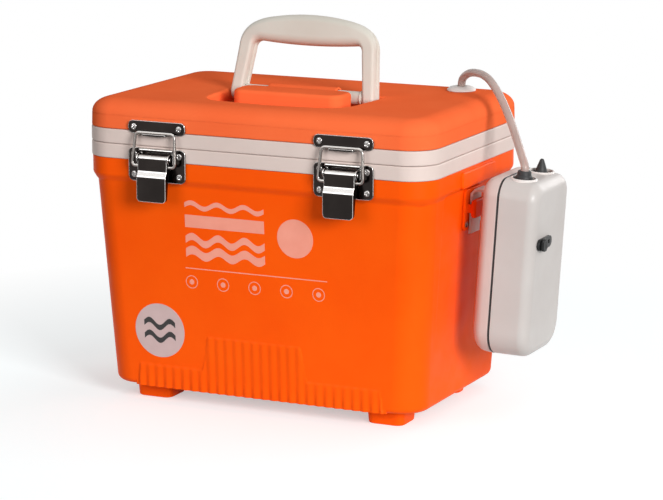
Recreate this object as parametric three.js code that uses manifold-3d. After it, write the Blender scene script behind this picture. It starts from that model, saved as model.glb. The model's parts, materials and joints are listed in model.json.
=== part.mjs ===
// Live bait well: a small insulated cooler with a hinged lid, a folding handle, two draw latches
// and a battery air pump clipped to its right side. Millimetres, +Z up, front of the well to -Y.
// The model is laid out about the middle of the tub, with z = 0 under the feet, and is moved at the
// end so that the origin is the middle of its base.
import * as THREE from 'three';
import { mergeVertices } from 'three/addons/utils/BufferGeometryUtils.js';
import Module from 'manifold-3d';

const wasm = await Module();
wasm.setup();

// Overall sizes, over the trim bands and from the feet to the lid's flat top.
const width = 311.15;
const depth = 203.2;
const height = 254;

// Shared gaps and allowances.
const gap = 0.3;
const overrun = 4;
const weldTolerance = 0.0001;

// Trim bands that cover the joint between tub and lid. A drop is measured down from the lid's top.
const trim = { drop: 47.8, height: 24.1, skirt: 2.3, flange: 2.5, corner: 26, edge: 1.2 };

// Tub: outer moulding, feet, front ribs, side panels and hanging ledges. Insets are measured in from
// the outside of the trim bands.
const tub = {
  wall: 3, collarInset: 0.7, stepInset: 3.9, stepDrop: 65.5, stepRise: 1.4, underside: 15,
  edgeRadius: 12, corner: 24, draft: THREE.MathUtils.degToRad(3.4),
};
const foot = { width: 35, depth: 20, height: 19, inset: 49.6, radius: 5, taper: 1.5 };
const rib = {
  inset: 47.6, count: 25, widthShare: 0.38, proud: 1.5, root: 9, lowTop: 35, highTop: 62.5,
  highCount: 9, foot: 16.4, shoulder: 4,
};
const panel = { inset: 41.6, bottom: 77, depth: 1.5, radius: 8 };
const ledge = { halfWidth: 35, rise: 2, height: 13.5, proud: 2.7, bevel: 1.2, radius: 3 };

// Well: the liner that holds the water, and the foam round it.
const well = {
  sideInset: 26.6, frontInset: 22.6, sideLean: 11.5, frontLean: 10.7, floor: 40, wall: 2.5,
  corner: 20, floorRadius: 8, flange: 2.8,
};

// Lid: outer moulding, liner with its plug, seal, and the recess for the handle.
const lid = {
  wall: 3, collarInset: 0.3, shoulderInset: 0.6, shoulderDrop: 12, edgeReach: 18,
  plugGap: 2.5, plugDrop: 48, plugWall: 2.5, plugCorner: 18, innerCorner: 8,
};
const seal = { height: 3, groove: 1.5, rise: 4, reachGap: 0.6 };
const recess = { depth: 11, margin: 3, rampReach: 28, rampFront: 66, rampBack: 6 };
const island = { halfWidth: 41.5, front: 38.5, back: 7.5, proud: 5.4, radius: 6, bevel: 2.4 };

// Handle: a closed loop that turns in two open hooks moulded in the lid and rests leaning back.
const handle = {
  pivotY: 0, pivotDrop: 1, lean: THREE.MathUtils.degToRad(14), legOuter: 65.5, legInner: 55.1,
  shoulderOuter: 62, shoulderInner: 50.6, reach: 66, crown: 3.4, underside: 43, belly: 2,
  outerRadius: 26, innerRadius: 6, legDepth: 15, gripDepth: 18.5, bevel: 2.2, barRadius: 5.5,
  journalRadius: 3.4, journalX: 26, journalHalf: 5, groove: 4.6, grooveDepth: 1.6, grooveTop: 36,
};
const hook = { wall: 2.1, halfWidth: 4.2, mouth: 5.2 };

// Draw latches, one each side of the front. Lows and rises are measured down and up from the
// parting line between tub and lid.
const latch = {
  inset: 72.1, plate: 1.2, width: 52, corner: 4, baseLow: 28.75, baseGap: 1.25, strikeGap: 10.45,
  strikeRise: 21.05, pivotOut: 5.9, pivotLow: 8.95, pinRadius: 1.5, earWall: 1.2, earRadius: 3.9,
  earFoot: 8, rollRadius: 1.6, rollHalf: 15.4, hookHalf: 10.5, hookSheet: 1, hookRise: 1.2,
  leverHalf: 13.2, leverLow: 43.75, leverSheet: 1.1, leverOut: 3.4, leverTailOut: 5.2,
  leverFlange: 4.4, leverRoll: 3, leverCorner: 3.4, stepLow: 21.45, stepHeight: 4, stepHalf: 10.6,
  stepProud: 0.7, stepRadius: 1, bailDrop: 6, bailOut: 0.9, wire: 1.3, bailRise: 11.75,
  bailTopOut: 3.6, bailHalfTop: 17.8, bailHalfFoot: 19.6, bailCurl: 2.4, bailSteps: 22,
};

// Screws, all of one pattern.
const screw = { head: 2.7, rise: 1.3, shank: 1.5, inset: 5.4, sides: 8 };

// Rear hinges.
const hinge = {
  inset: 71.6, width: 46, plate: 1.5, barrel: 3.6, pin: 1.6, leafLow: 26.25, leafRise: 22.75,
  knuckleShare: 0.3, corner: 3,
};

// Pump: case halves with a gasket between, hung on a bracket by its belt clip.
const pump = {
  outboard: 37.9, y: 0, low: 60.2, lean: THREE.MathUtils.degToRad(3.7), halfDepth: 24.1,
  halfWidth: 38.9, halfHeight: 73, seam: -8.5, sealHalf: 0.5, edge: 9, cornerTop: 15,
  cornerBottom: 22, wall: 2.2, taper: 1.2,
};
const outlet = {
  x: 4.5, hoseY: -18, coneY: 20, pocket: 9.4, pocketDepth: 8, boot: 8.2, bootRise: 2.6,
  neck: 4.9, neckRise: 6.4, stub: 2.1, stubRise: 3.4, flangeRise: 2.2, coneFoot: 5.6, coneTip: 1.1,
  coneRise: 15.5, collar: 6.4, collarRise: 3.6,
};
const cell = { radius: 16.6, length: 61, x: 2, top: 0, spacing: 34.4, nub: 4.6, nubRise: 1.4 };
const contact = { sheet: 0.8, halfWidth: 26, halfDepth: 6, springRadius: 6, springRise: 1.6 };
const motor = { radius: 11.6, length: 25, y: -18, z: 17, shaft: 1.6 };
const crank = { radius: 7.5, thickness: 4, pinRadius: 1.4, pinReach: 3, pinOffset: 3.2 };
const diaphragm = { radius: 11, thickness: 3, rod: 2, rodReach: 6, y: 12 };
const chamber = { halfX: 12, halfZ: 9, depth: 17, z: 44, spigot: 2.6 };
const slider = {
  y: -17, z: 23, halfLength: 14, halfHeight: 4.6, proud: 2, slotHalf: 9, slotHeight: 1.8,
  knobHalf: 4.4, knobHeight: 5, knobRise: 2.8,
};
const cradle = { rib: 1.6, reach: -10, shelfHalf: 24, postHalf: 12, postHeight: 8, motorRise: 12 };
const bracket = {
  plate: 2.2, halfWidth: 17, low: 1.5, tall: 34, radius: 4, barHalf: 14, barLow: 9.5, barTall: 15,
  barSheet: 4.2, barEdge: 1, standoff: 3.6, post: 3, barRadius: 3,
};
const clip = { sheet: 2, halfWidth: 9.6, tongueLow: 3, rootLow: 13, crestRise: 7, bend: 3 };

// Air line. The free stretch's route is a table of hand-chosen shares of the way from the grommet
// to the pump, and the drop's of the way from the grommet to the air stone.
const hose = {
  radius: 3.3, sides: 8, sideInset: 43.6, backInset: 32.6, grommetRadius: 12, grommetRise: 3.8,
  neck: 5.6, neckDrop: 5, hole: 5.9, bore: 3.7, flare: 1, wellHole: 4.1, steps: 14, dropSteps: 12,
};
const stone = {
  sideInset: 29, backInset: 34, floorGap: 22, radius: 8, length: 30, round: 3, stem: 2.2,
  stemRise: 4,
};
const freeShares = [
  [0, 0, 0], [0, 0, -0.104], [0.017, 0.016, -0.191], [0.077, 0.074, -0.282], [0.161, 0.154, -0.341],
  [0.251, 0.234, -0.361], [0.345, 0.328, -0.357], [0.439, 0.421, -0.307], [0.528, 0.509, -0.211],
  [0.617, 0.595, -0.081], [0.705, 0.683, 0.089], [0.798, 0.775, 0.309], [0.884, 0.864, 0.538],
  [0.957, 0.945, 0.731],
];
const dropShares = [
  [-0.002, 0, 0], [-0.002, 0, 0.152], [-0.002, 0, 0.305], [0.015, 0.025, 0.407], [0.131, 0.15, 0.534],
  [0.365, 0.375, 0.673], [0.648, 0.65, 0.801], [0.881, 0.875, 0.902], [0.99, 0.988, 0.966],
  [0.998, 1, 1],
];

// Facets.
const cornerSteps = 3;
const filletSteps = 3;
const roundSides = 12;
const smallSides = 8;
const wireSides = 6;
const plateSteps = 2;
const handleSteps = 4;
const recessSteps = 6;

// Heights and places that several pieces share.
const halfX = width / 2;
const halfY = depth / 2;
const trimBottom = height - trim.drop;
const parting = trimBottom + trim.height / 2;
const lowerBandTop = parting - gap / 2;
const upperBandBottom = parting + gap / 2;
const trimTop = trimBottom + trim.height;
const tubRim = lowerBandTop - trim.flange - gap;
const lidRim = upperBandBottom + trim.flange + gap;
const recessFloor = height - recess.depth;
const stepZ = height - tub.stepDrop;
const shoulderZ = height - lid.shoulderDrop;
const plugBottom = height - lid.plugDrop;
const sealBottom = plugBottom + seal.rise;
const handleZ = height - handle.pivotDrop;
const plateBack = halfY + gap;
const plateFront = plateBack + latch.plate;
const wellHalf = { x: halfX - well.sideInset, y: halfY - well.frontInset };
const ribPitch = 2 * (halfX - rib.inset) / (rib.count - 1);
const latchZ = {
  baseBottom: parting - latch.baseLow, baseTop: parting - latch.baseGap,
  strikeBottom: parting + latch.strikeGap, strikeTop: parting + latch.strikeRise,
  pivot: parting - latch.pivotLow, leverBottom: parting - latch.leverLow,
  step: parting - latch.stepLow, bailTop: parting + latch.bailRise,
};
const pumpPlace = new THREE.Vector3(halfX + pump.outboard, pump.y, stepZ - pump.low);
const bracketTop = stepZ - bracket.low;
const bracketBottom = bracketTop - bracket.tall;
const barBottom = stepZ - bracket.barLow - bracket.barTall;
const barTop = stepZ - bracket.barLow;
const grommet = new THREE.Vector3(halfX - hose.sideInset, halfY - hose.backInset, height);
const stonePlace = {
  x: wellHalf.x - stone.sideInset, y: wellHalf.y - stone.backInset, bottom: well.floor + stone.floorGap,
};

// Colours.
const finish = {
  orange: { color: 0xf4530f, roughness: 0.42, metalness: 0 },
  lidOrange: { color: 0xff6a35, roughness: 0.45, metalness: 0 },
  trim: { color: 0xd4c8c3, roughness: 0.5, metalness: 0 },
  liner: { color: 0xe9e6e0, roughness: 0.4, metalness: 0 },
  foam: { color: 0xf3ecd2, roughness: 0.9, metalness: 0 },
  rubber: { color: 0x6d6a66, roughness: 0.85, metalness: 0 },
  black: { color: 0x17181a, roughness: 0.55, metalness: 0 },
  steel: { color: 0xc9ccd0, roughness: 0.18, metalness: 1 },
  handle: { color: 0xdccdbe, roughness: 0.5, metalness: 0 },
  pump: { color: 0xd6cfcc, roughness: 0.38, metalness: 0 },
  white: { color: 0xefe9e6, roughness: 0.5, metalness: 0 },
  hose: { color: 0xc3a49b, roughness: 0.3, metalness: 0 },
  stone: { color: 0x8f9aa0, roughness: 0.95, metalness: 0 },
  cell: { color: 0x3c4046, roughness: 0.35, metalness: 0.3 },
  brass: { color: 0xb8964a, roughness: 0.3, metalness: 1 },
};

// Joins, cuts and clean-up of closed meshes.

function weld(geometry) {
  const plain = new THREE.BufferGeometry();
  plain.setAttribute('position', geometry.getAttribute('position').clone());
  if (geometry.index) {
    plain.setIndex(geometry.index.clone());
  }
  const merged = mergeVertices(plain, weldTolerance);
  const kept = [];
  const corners = merged.index.array;
  for (let i = 0; i < corners.length; i += 3) {
    const [a, b, c] = [corners[i], corners[i + 1], corners[i + 2]];
    if (a !== b && b !== c && c !== a) {
      kept.push(a, b, c);
    }
  }
  merged.setIndex(kept);
  return signedVolume(merged) < 0 ? flip(merged) : merged;
}

function signedVolume(geometry) {
  const place = geometry.getAttribute('position');
  const corners = geometry.index.array;
  const [a, b, c] = [new THREE.Vector3(), new THREE.Vector3(), new THREE.Vector3()];
  let total = 0;
  for (let i = 0; i < corners.length; i += 3) {
    a.fromBufferAttribute(place, corners[i]);
    b.fromBufferAttribute(place, corners[i + 1]);
    c.fromBufferAttribute(place, corners[i + 2]);
    total += a.dot(b.cross(c)) / 6;
  }
  return total;
}

function flip(geometry) {
  const corners = Array.from(geometry.index.array);
  for (let i = 0; i < corners.length; i += 3) {
    [corners[i + 1], corners[i + 2]] = [corners[i + 2], corners[i + 1]];
  }
  geometry.setIndex(corners);
  return geometry;
}

function toSolid(geometry) {
  const clean = weld(geometry);
  const vertProperties = new Float32Array(clean.getAttribute('position').array);
  const triVerts = new Uint32Array(clean.index.array);
  return new wasm.Manifold(new wasm.Mesh({ numProp: 3, vertProperties, triVerts }));
}

function toGeometry(solid) {
  const mesh = solid.getMesh();
  const geometry = new THREE.BufferGeometry();
  geometry.setAttribute('position', new THREE.BufferAttribute(mesh.vertProperties, mesh.numProp));
  geometry.setIndex(Array.from(mesh.triVerts));
  return geometry;
}

function join(...geometries) {
  return toGeometry(geometries.map(toSolid).reduce((all, next) => all.add(next)));
}

function cut(geometry, ...tools) {
  return toGeometry(tools.map(toSolid).reduce((left, tool) => left.subtract(tool), toSolid(geometry)));
}

function common(first, second) {
  return toGeometry(toSolid(first).intersect(toSolid(second)));
}

// Lofts through rings of points, closed at both ends or into a loop.

function loft(rings, loop = false) {
  const count = rings[0].length;
  const index = [];
  const last = loop ? rings.length : rings.length - 1;
  for (let i = 0; i < last; i += 1) {
    const low = i * count;
    const high = ((i + 1) % rings.length) * count;
    for (let k = 0; k < count; k += 1) {
      const next = (k + 1) % count;
      index.push(low + k, low + next, high + next, low + k, high + next, high + k);
    }
  }
  if (!loop) {
    const end = (rings.length - 1) * count;
    for (let k = 1; k < count - 1; k += 1) {
      index.push(0, k + 1, k, end, end + k, end + k + 1);
    }
  }
  const geometry = new THREE.BufferGeometry();
  const points = rings.flat().flatMap((p) => [p.x, p.y, p.z]);
  geometry.setAttribute('position', new THREE.Float32BufferAttribute(points, 3));
  geometry.setIndex(index);
  return geometry;
}

function roundedRing({ x, y, r, rLow = r, z }) {
  const radii = [r, r, rLow, rLow];
  const ring = [];
  radii.forEach((radius, corner) => {
    const signX = corner === 0 || corner === 3 ? 1 : -1;
    const signY = corner < 2 ? 1 : -1;
    for (let i = 0; i <= cornerSteps; i += 1) {
      const angle = (corner + i / cornerSteps) * Math.PI / 2;
      const px = signX * (x - radius) + radius * Math.cos(angle);
      const py = signY * (y - radius) + radius * Math.sin(angle);
      ring.push(new THREE.Vector3(px, py, z));
    }
  });
  return ring;
}

function shrink({ x, y, r, rLow = r }, inset, z) {
  const smallest = gap;
  const round = (radius) => Math.max(radius - inset, smallest);
  return { x: x - inset, y: y - inset, r: round(r), rLow: round(rLow), z };
}

function stack(sections, loop = false) {
  return loft(sections.map(roundedRing), loop);
}

// Quarter turns as [inward share, upward share] steps of a fillet.

function quarterSteps(steps) {
  return Array.from({ length: steps + 1 }, (_, i) => {
    const angle = (i / steps) * Math.PI / 2;
    return [1 - Math.sin(angle), 1 - Math.cos(angle)];
  });
}

// Outlines and plates.

function roundedShape(halfWide, low, high, radius) {
  const shape = new THREE.Shape();
  const turn = Math.PI / 2;
  shape.absarc(halfWide - radius, low + radius, radius, -turn, 0);
  shape.absarc(halfWide - radius, high - radius, radius, 0, turn);
  shape.absarc(radius - halfWide, high - radius, radius, turn, turn * 2);
  shape.absarc(radius - halfWide, low + radius, radius, turn * 2, turn * 3);
  shape.closePath();
  return shape;
}

function polygonShape(points) {
  return new THREE.Shape(points.map(([x, y]) => new THREE.Vector2(x, y)));
}

function disc(x, y, radius, sides = smallSides) {
  return polygonShape(Array.from({ length: sides }, (_, i) => {
    const angle = ((i + 1 / 2) / sides) * Math.PI * 2;
    return [x + radius * Math.cos(angle), y + radius * Math.sin(angle)];
  }));
}

function punched(shape, holes) {
  shape.holes.push(...holes);
  return shape;
}

// A bent sheet seen from its edge: the outline of a polyline with a thickness.

function sheetShape(points, thickness) {
  const path = points.map(([x, y]) => new THREE.Vector2(x, y));
  const sides = [[], []];
  const sharpest = 0.4;
  path.forEach((point, i) => {
    const before = path[Math.max(i - 1, 0)];
    const after = path[Math.min(i + 1, path.length - 1)];
    const inDir = point.clone().sub(i > 0 ? before : point.clone().multiplyScalar(2).sub(after));
    const outDir = after.clone().sub(point);
    const reference = inDir.normalize();
    const leaving = i < path.length - 1 ? outDir.normalize() : reference;
    const bisector = reference.clone().add(leaving).normalize();
    const normal = new THREE.Vector2(-bisector.y, bisector.x);
    const turning = normal.dot(new THREE.Vector2(-leaving.y, leaving.x));
    const reach = thickness / 2 / Math.max(turning, sharpest);
    sides[0].push(point.clone().addScaledVector(normal, reach));
    sides[1].unshift(point.clone().addScaledVector(normal, -reach));
  });
  return new THREE.Shape([...sides[0], ...sides[1]]);
}

const axisX = new THREE.Vector3(1, 0, 0);
const axisY = new THREE.Vector3(0, 1, 0);
const axisZ = new THREE.Vector3(0, 0, 1);
const frames = {
  // Outline drawn in X and Z, thickness towards the front.
  front: new THREE.Matrix4().makeBasis(axisX, axisZ, axisY.clone().negate()),
  // Outline drawn in Y and Z, thickness towards +X.
  side: new THREE.Matrix4().makeBasis(axisY, axisZ, axisX),
  // Outline drawn in X and Y, thickness upwards.
  top: new THREE.Matrix4(),
};

function slab(shape, frame, start, thickness, { bevel = 0, curve = plateSteps, rounds = 1 } = {}) {
  const geometry = new THREE.ExtrudeGeometry(shape, {
    depth: thickness - 2 * bevel,
    curveSegments: curve,
    bevelEnabled: bevel > 0,
    bevelSize: bevel,
    bevelThickness: bevel,
    bevelOffset: -bevel,
    bevelSegments: rounds,
  });
  geometry.translate(0, 0, start + bevel);
  return geometry.applyMatrix4(frames[frame]);
}

function turned(profile, sides = roundSides) {
  const points = profile.map(([r, z]) => new THREE.Vector2(r, z));
  return new THREE.LatheGeometry(points, sides).rotateX(Math.PI / 2);
}

function rod(radius, from, to, sides = smallSides) {
  return turned([[0, from], [radius, from], [radius, to], [0, to]], sides);
}

function alongX(geometry) {
  return geometry.rotateY(Math.PI / 2);
}

function towardsBack(geometry) {
  return geometry.rotateX(-Math.PI / 2);
}

function towardsFront(geometry) {
  return geometry.rotateX(Math.PI / 2);
}

function wireAlong(points, radius, sides, steps, bend = 0) {
  const path = new THREE.CurvePath();
  let from = points[0];
  for (let i = 1; i < points.length - 1; i += 1) {
    const inward = points[i].clone().sub(points[i - 1]).normalize();
    const outward = points[i + 1].clone().sub(points[i]).normalize();
    const arrive = points[i].clone().addScaledVector(inward, -bend);
    const leave = points[i].clone().addScaledVector(outward, bend);
    path.add(new THREE.LineCurve3(from, arrive));
    path.add(new THREE.QuadraticBezierCurve3(arrive, points[i], leave));
    from = leave;
  }
  path.add(new THREE.LineCurve3(from, points[points.length - 1]));
  return new THREE.ExtrudeGeometry(disc(0, 0, radius, sides), { steps, extrudePath: path });
}

function hoseAlong(points, steps) {
  const path = new THREE.CatmullRomCurve3(points, false, 'centripetal');
  const section = disc(0, 0, hose.radius, hose.sides);
  return new THREE.ExtrudeGeometry(section, { steps, extrudePath: path });
}

function mirrored(geometry) {
  return weld(geometry.clone().scale(-1, 1, 1));
}

// A screw stands along Z with its head from z = lift upwards. A loose one has a shank that passes
// through its plate; one that is fused to its plate sinks its head's underside into it.

function screwHead(low) {
  const { head, rise } = screw;
  const shoulderShare = 0.6;
  const edgeShare = 0.45;
  return [[head, low], [head, rise * edgeShare], [head * shoulderShare, rise], [0, rise]];
}

function looseScrew(plate) {
  const { shank, sides } = screw;
  const profile = [[0, gap - plate], [shank, gap - plate], [shank, gap], ...screwHead(gap)];
  return turned(profile, sides);
}

function fusedScrew() {
  const low = -latch.plate / 2;
  return turned([[0, low], ...screwHead(low)], screw.sides);
}

function screwHole(x, z) {
  return disc(x, z, screw.shank + gap);
}

// The assembly.

const assembly = new THREE.Group();

function piece(parent, name, geometry, look, place = [0, 0, 0]) {
  const material = new THREE.MeshStandardMaterial(look);
  const solid = weld(geometry).toNonIndexed();
  solid.computeVertexNormals();
  const mesh = new THREE.Mesh(solid, material);
  mesh.name = name;
  mesh.position.set(...place);
  parent.add(mesh);
  return mesh;
}

// Tub walls lean in below the collar by the draft angle.

function tubInset(z) {
  return tub.stepInset + Math.max(stepZ - z, 0) * Math.tan(tub.draft);
}

function tubSection(z, extra = 0) {
  const inset = tubInset(z);
  const section = { x: halfX - inset, y: halfY - inset, r: tub.corner };
  return shrink(section, extra, z);
}

function collarSection(inset, z) {
  return shrink({ x: halfX, y: halfY, r: trim.corner }, inset, z);
}

function tubOutside() {
  const bottomFillet = quarterSteps(filletSteps - 1).map(([inward, up]) => {
    const z = tub.underside + tub.edgeRadius * up;
    return tubSection(z, tub.edgeRadius * inward);
  });
  const underSkirt = trim.skirt + gap;
  return stack([
    ...bottomFillet,
    tubSection(stepZ),
    collarSection(tub.collarInset, stepZ + tub.stepRise),
    collarSection(tub.collarInset, trimBottom - gap),
    collarSection(underSkirt, trimBottom - gap),
    collarSection(underSkirt, tubRim),
  ]);
}

function tubInside(margin = 0, top = tubRim + overrun) {
  const inner = tub.wall + margin;
  const radius = tub.edgeRadius - tub.wall;
  const floorFillet = quarterSteps(filletSteps - 1).map(([inward, up]) => {
    const z = tub.underside + inner + radius * up;
    return tubSection(z, inner + radius * inward);
  });
  const neck = trim.skirt + gap + inner;
  return [
    ...floorFillet,
    tubSection(stepZ, inner),
    collarSection(neck, stepZ + tub.stepRise + tub.wall),
    collarSection(neck, top),
  ];
}

function footBlock(signX, signY) {
  const { width: wide, depth: deep, radius, taper } = foot;
  const sole = { x: wide / 2 - taper, y: deep / 2 - taper, r: radius, z: 0 };
  const top = { x: wide / 2, y: deep / 2, r: radius, z: foot.height };
  return stack([sole, top]).translate(signX * (halfX - foot.inset), signY * (halfY - foot.inset), 0);
}

function frontRib(index) {
  const place = (index - (rib.count - 1) / 2) * ribPitch;
  const ribHalf = ribPitch * rib.widthShare;
  const raised = Math.abs(index - (rib.count - 1) / 2) <= (rib.highCount - 1) / 2;
  const top = raised ? rib.highTop : rib.lowTop;
  const shoulderShares = [[-1, 0], [-0.5, 1], [0.5, 1], [1, 0]];
  const ringAt = (z, proudShare) => {
    const wallY = -(halfY - tubInset(z));
    const ring = shoulderShares.map(([across, out]) => {
      const y = wallY - rib.proud * out * proudShare;
      return new THREE.Vector3(place + ribHalf * across, y, z);
    });
    ring.push(new THREE.Vector3(place + ribHalf, wallY + rib.root, z));
    ring.push(new THREE.Vector3(place - ribHalf, wallY + rib.root, z));
    return ring;
  };
  return loft([ringAt(rib.foot, 1), ringAt(top - rib.shoulder, 1), ringAt(top, 0)]);
}

function panelCutter(sign) {
  const wallX = (z) => halfX - tubInset(z);
  const rise = stepZ - panel.bottom;
  const tilt = Math.atan((wallX(stepZ) - panel.depth - wallX(panel.bottom)) / rise);
  const outline = roundedShape(halfY - panel.inset, 0, rise + panel.radius * 2, panel.radius);
  const block = slab(outline, 'side', 0, overrun * 2).rotateY(tilt);
  block.translate(wallX(panel.bottom), 0, panel.bottom);
  const limit = slab(roundedShape(halfY, 0, stepZ, panel.radius), 'side', 0, halfX + overrun);
  const clipped = common(block, limit);
  return sign > 0 ? clipped : mirrored(clipped);
}

function ledgeBlock(sign) {
  const low = stepZ + ledge.rise;
  const outline = roundedShape(ledge.halfWidth, low, low + ledge.height, ledge.radius);
  const start = halfX - tub.collarInset - ledge.bevel * 2;
  const block = slab(outline, 'side', start, ledge.proud + ledge.bevel * 2, { bevel: ledge.bevel });
  return sign > 0 ? block : mirrored(block);
}

function outerShell() {
  const feet = [[1, 1], [1, -1], [-1, 1], [-1, -1]].map(([x, y]) => footBlock(x, y));
  const ribs = Array.from({ length: rib.count }, (_, i) => frontRib(i));
  const body = join(tubOutside(), ...feet, ...ribs, ledgeBlock(1), ledgeBlock(-1));
  return cut(body, panelCutter(1), panelCutter(-1), stack(tubInside()));
}

// The liner's walls lean in towards its floor.

function wellSection(z, out = 0) {
  const share = (z - well.floor) / (tubRim - well.floor);
  const x = wellHalf.x - well.sideLean * (1 - share) + out;
  const y = wellHalf.y - well.frontLean * (1 - share) + out;
  return { x, y, r: well.corner + out, z };
}

function wellFloorFillet(out, low) {
  const radius = well.floorRadius + out;
  return quarterSteps(filletSteps - 1).map(([inward, up]) => {
    const z = low + radius * up;
    return shrink(wellSection(z, out), radius * inward, z);
  });
}

const linerFlange = trim.skirt + gap + tub.wall + gap;

function innerLiner() {
  const outside = wellFloorFillet(well.wall, well.floor - well.wall);
  const inside = wellFloorFillet(0, well.floor).reverse();
  const under = tubRim - well.flange;
  return stack([
    ...outside,
    wellSection(under, well.wall),
    collarSection(linerFlange, under),
    collarSection(linerFlange, tubRim),
    wellSection(tubRim),
    ...inside,
  ]);
}

function foamCore() {
  const outside = tubInside(gap, tubRim - well.flange - gap);
  const out = well.wall + gap;
  const inside = wellFloorFillet(out, well.floor - out).reverse();
  return stack([...outside, wellSection(tubRim - well.flange - gap, out), ...inside]);
}

function trimBand(skirtEnd, flangeOuter, flangeInner, openingOut) {
  const rimSection = (z) => ({ ...wellSection(tubRim, openingOut), z });
  const rounded = Math.sign(skirtEnd - flangeOuter) * trim.edge;
  const outer = [
    collarSection(trim.edge / 2, skirtEnd), collarSection(0, skirtEnd - rounded / 2),
    collarSection(0, flangeOuter + rounded / 2), collarSection(trim.edge / 2, flangeOuter),
  ];
  const inner = [
    rimSection(flangeOuter), rimSection(flangeInner),
    collarSection(trim.skirt, flangeInner), collarSection(trim.skirt, skirtEnd),
  ];
  return stack([...outer, ...inner], true);
}

// Handle outline, drawn from the pivot upwards; grow widens it for the recess in the lid.

function handleOutline(grow = 0, tail = handle.legDepth / 2) {
  const shape = new THREE.Shape();
  const top = handle.reach + grow;
  const edge = top - handle.crown;
  const outerX = handle.legOuter + grow;
  const shoulderX = handle.shoulderOuter + grow;
  const bend = handle.outerRadius + grow;
  shape.moveTo(outerX, -tail);
  shape.lineTo(outerX, 0);
  shape.lineTo(shoulderX, edge - bend);
  shape.quadraticCurveTo(shoulderX, edge, shoulderX - bend, edge);
  shape.quadraticCurveTo(0, top + handle.crown, bend - shoulderX, edge);
  shape.quadraticCurveTo(-shoulderX, edge, -shoulderX, edge - bend);
  shape.lineTo(-outerX, 0);
  shape.lineTo(-outerX, -tail);
  return shape;
}

function handleLoop() {
  const shape = handleOutline();
  const { legInner, shoulderInner, underside, belly, innerRadius } = handle;
  const tail = handle.legDepth / 2;
  shape.lineTo(-legInner, -tail);
  shape.lineTo(-legInner, 0);
  shape.lineTo(-shoulderInner, underside - innerRadius);
  shape.quadraticCurveTo(-shoulderInner, underside, innerRadius - shoulderInner, underside);
  shape.quadraticCurveTo(0, underside - 2 * belly, shoulderInner - innerRadius, underside);
  shape.quadraticCurveTo(shoulderInner, underside, shoulderInner, underside - innerRadius);
  shape.lineTo(legInner, 0);
  shape.lineTo(legInner, -tail);
  const look = { bevel: handle.bevel, curve: handleSteps };
  return slab(shape, 'front', -handle.gripDepth / 2, handle.gripDepth, look);
}

// Side view of the handle: round foot about the pivot, thicker towards the grip.

function handleSideBlock() {
  const ankle = handle.legDepth / 2;
  const grip = handle.gripDepth / 2;
  const shape = new THREE.Shape();
  shape.absarc(0, 0, ankle, Math.PI, Math.PI * 2);
  shape.lineTo(ankle, handle.grooveTop / 2);
  shape.lineTo(grip, handle.underside);
  shape.lineTo(grip, handle.reach + overrun);
  shape.lineTo(-grip, handle.reach + overrun);
  shape.lineTo(-grip, handle.underside);
  shape.lineTo(-ankle, handle.grooveTop / 2);
  const half = handle.legOuter + overrun;
  return slab(shape, 'side', -half, half * 2);
}

function handleGroove(footX, shoulderX, towards) {
  const share = handle.grooveTop / handle.underside;
  const topX = THREE.MathUtils.lerp(footX, shoulderX, share);
  const inward = towards * handle.grooveDepth;
  const far = -towards * overrun;
  const low = -handle.legDepth;
  const outline = polygonShape([
    [footX + inward, low], [footX + inward, 0], [topX + inward, handle.grooveTop],
    [topX + far, handle.grooveTop], [footX + far, low],
  ]);
  return slab(outline, 'front', -handle.groove / 2, handle.groove);
}

function handleBar() {
  const { barRadius: bar, journalRadius: neck, journalX, journalHalf } = handle;
  const end = handle.legInner + overrun / 2;
  const [inner, outer] = [journalX - journalHalf, journalX + journalHalf];
  const profile = [
    [0, -end], [bar, -end], [bar, -outer], [neck, -outer], [neck, -inner], [bar, -inner],
    [bar, inner], [neck, inner], [neck, outer], [bar, outer], [bar, end], [0, end],
  ];
  return alongX(turned(profile, roundSides));
}

function handleSolid() {
  const { legOuter, legInner, shoulderOuter, shoulderInner } = handle;
  const grooves = [1, -1].flatMap((side) => [
    handleGroove(side * legOuter, side * shoulderOuter, -side),
    handleGroove(side * legInner, side * shoulderInner, side),
  ]);
  const upright = join(cut(common(handleLoop(), handleSideBlock()), ...grooves), handleBar());
  return upright.rotateX(-handle.lean);
}

// Lid.

function lidOutside() {
  const underSkirt = trim.skirt + gap;
  const rise = height - shoulderZ;
  const edge = quarterSteps(filletSteps + 1).reverse().map(([inward, up]) => {
    const inset = lid.shoulderInset + lid.edgeReach * inward;
    return collarSection(inset, height - rise * up);
  });
  return stack([
    collarSection(underSkirt, lidRim),
    collarSection(underSkirt, trimTop + gap),
    collarSection(lid.collarInset, trimTop + gap),
    ...edge,
  ]);
}

function lidInside(margin = 0, bottom = lidRim - overrun) {
  const inner = lid.wall + margin;
  const rise = height - shoulderZ;
  const roof = quarterSteps(filletSteps).map(([inward, up]) => {
    const inset = lid.shoulderInset + inner + (lid.edgeReach - lid.wall) * inward;
    return collarSection(inset, height - inner - (rise - lid.wall) * up);
  });
  return [collarSection(trim.skirt + gap + inner, bottom), ...roof.reverse()];
}

// The handle folds forward into this recess, with a ramp for the fingers each side.

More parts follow.
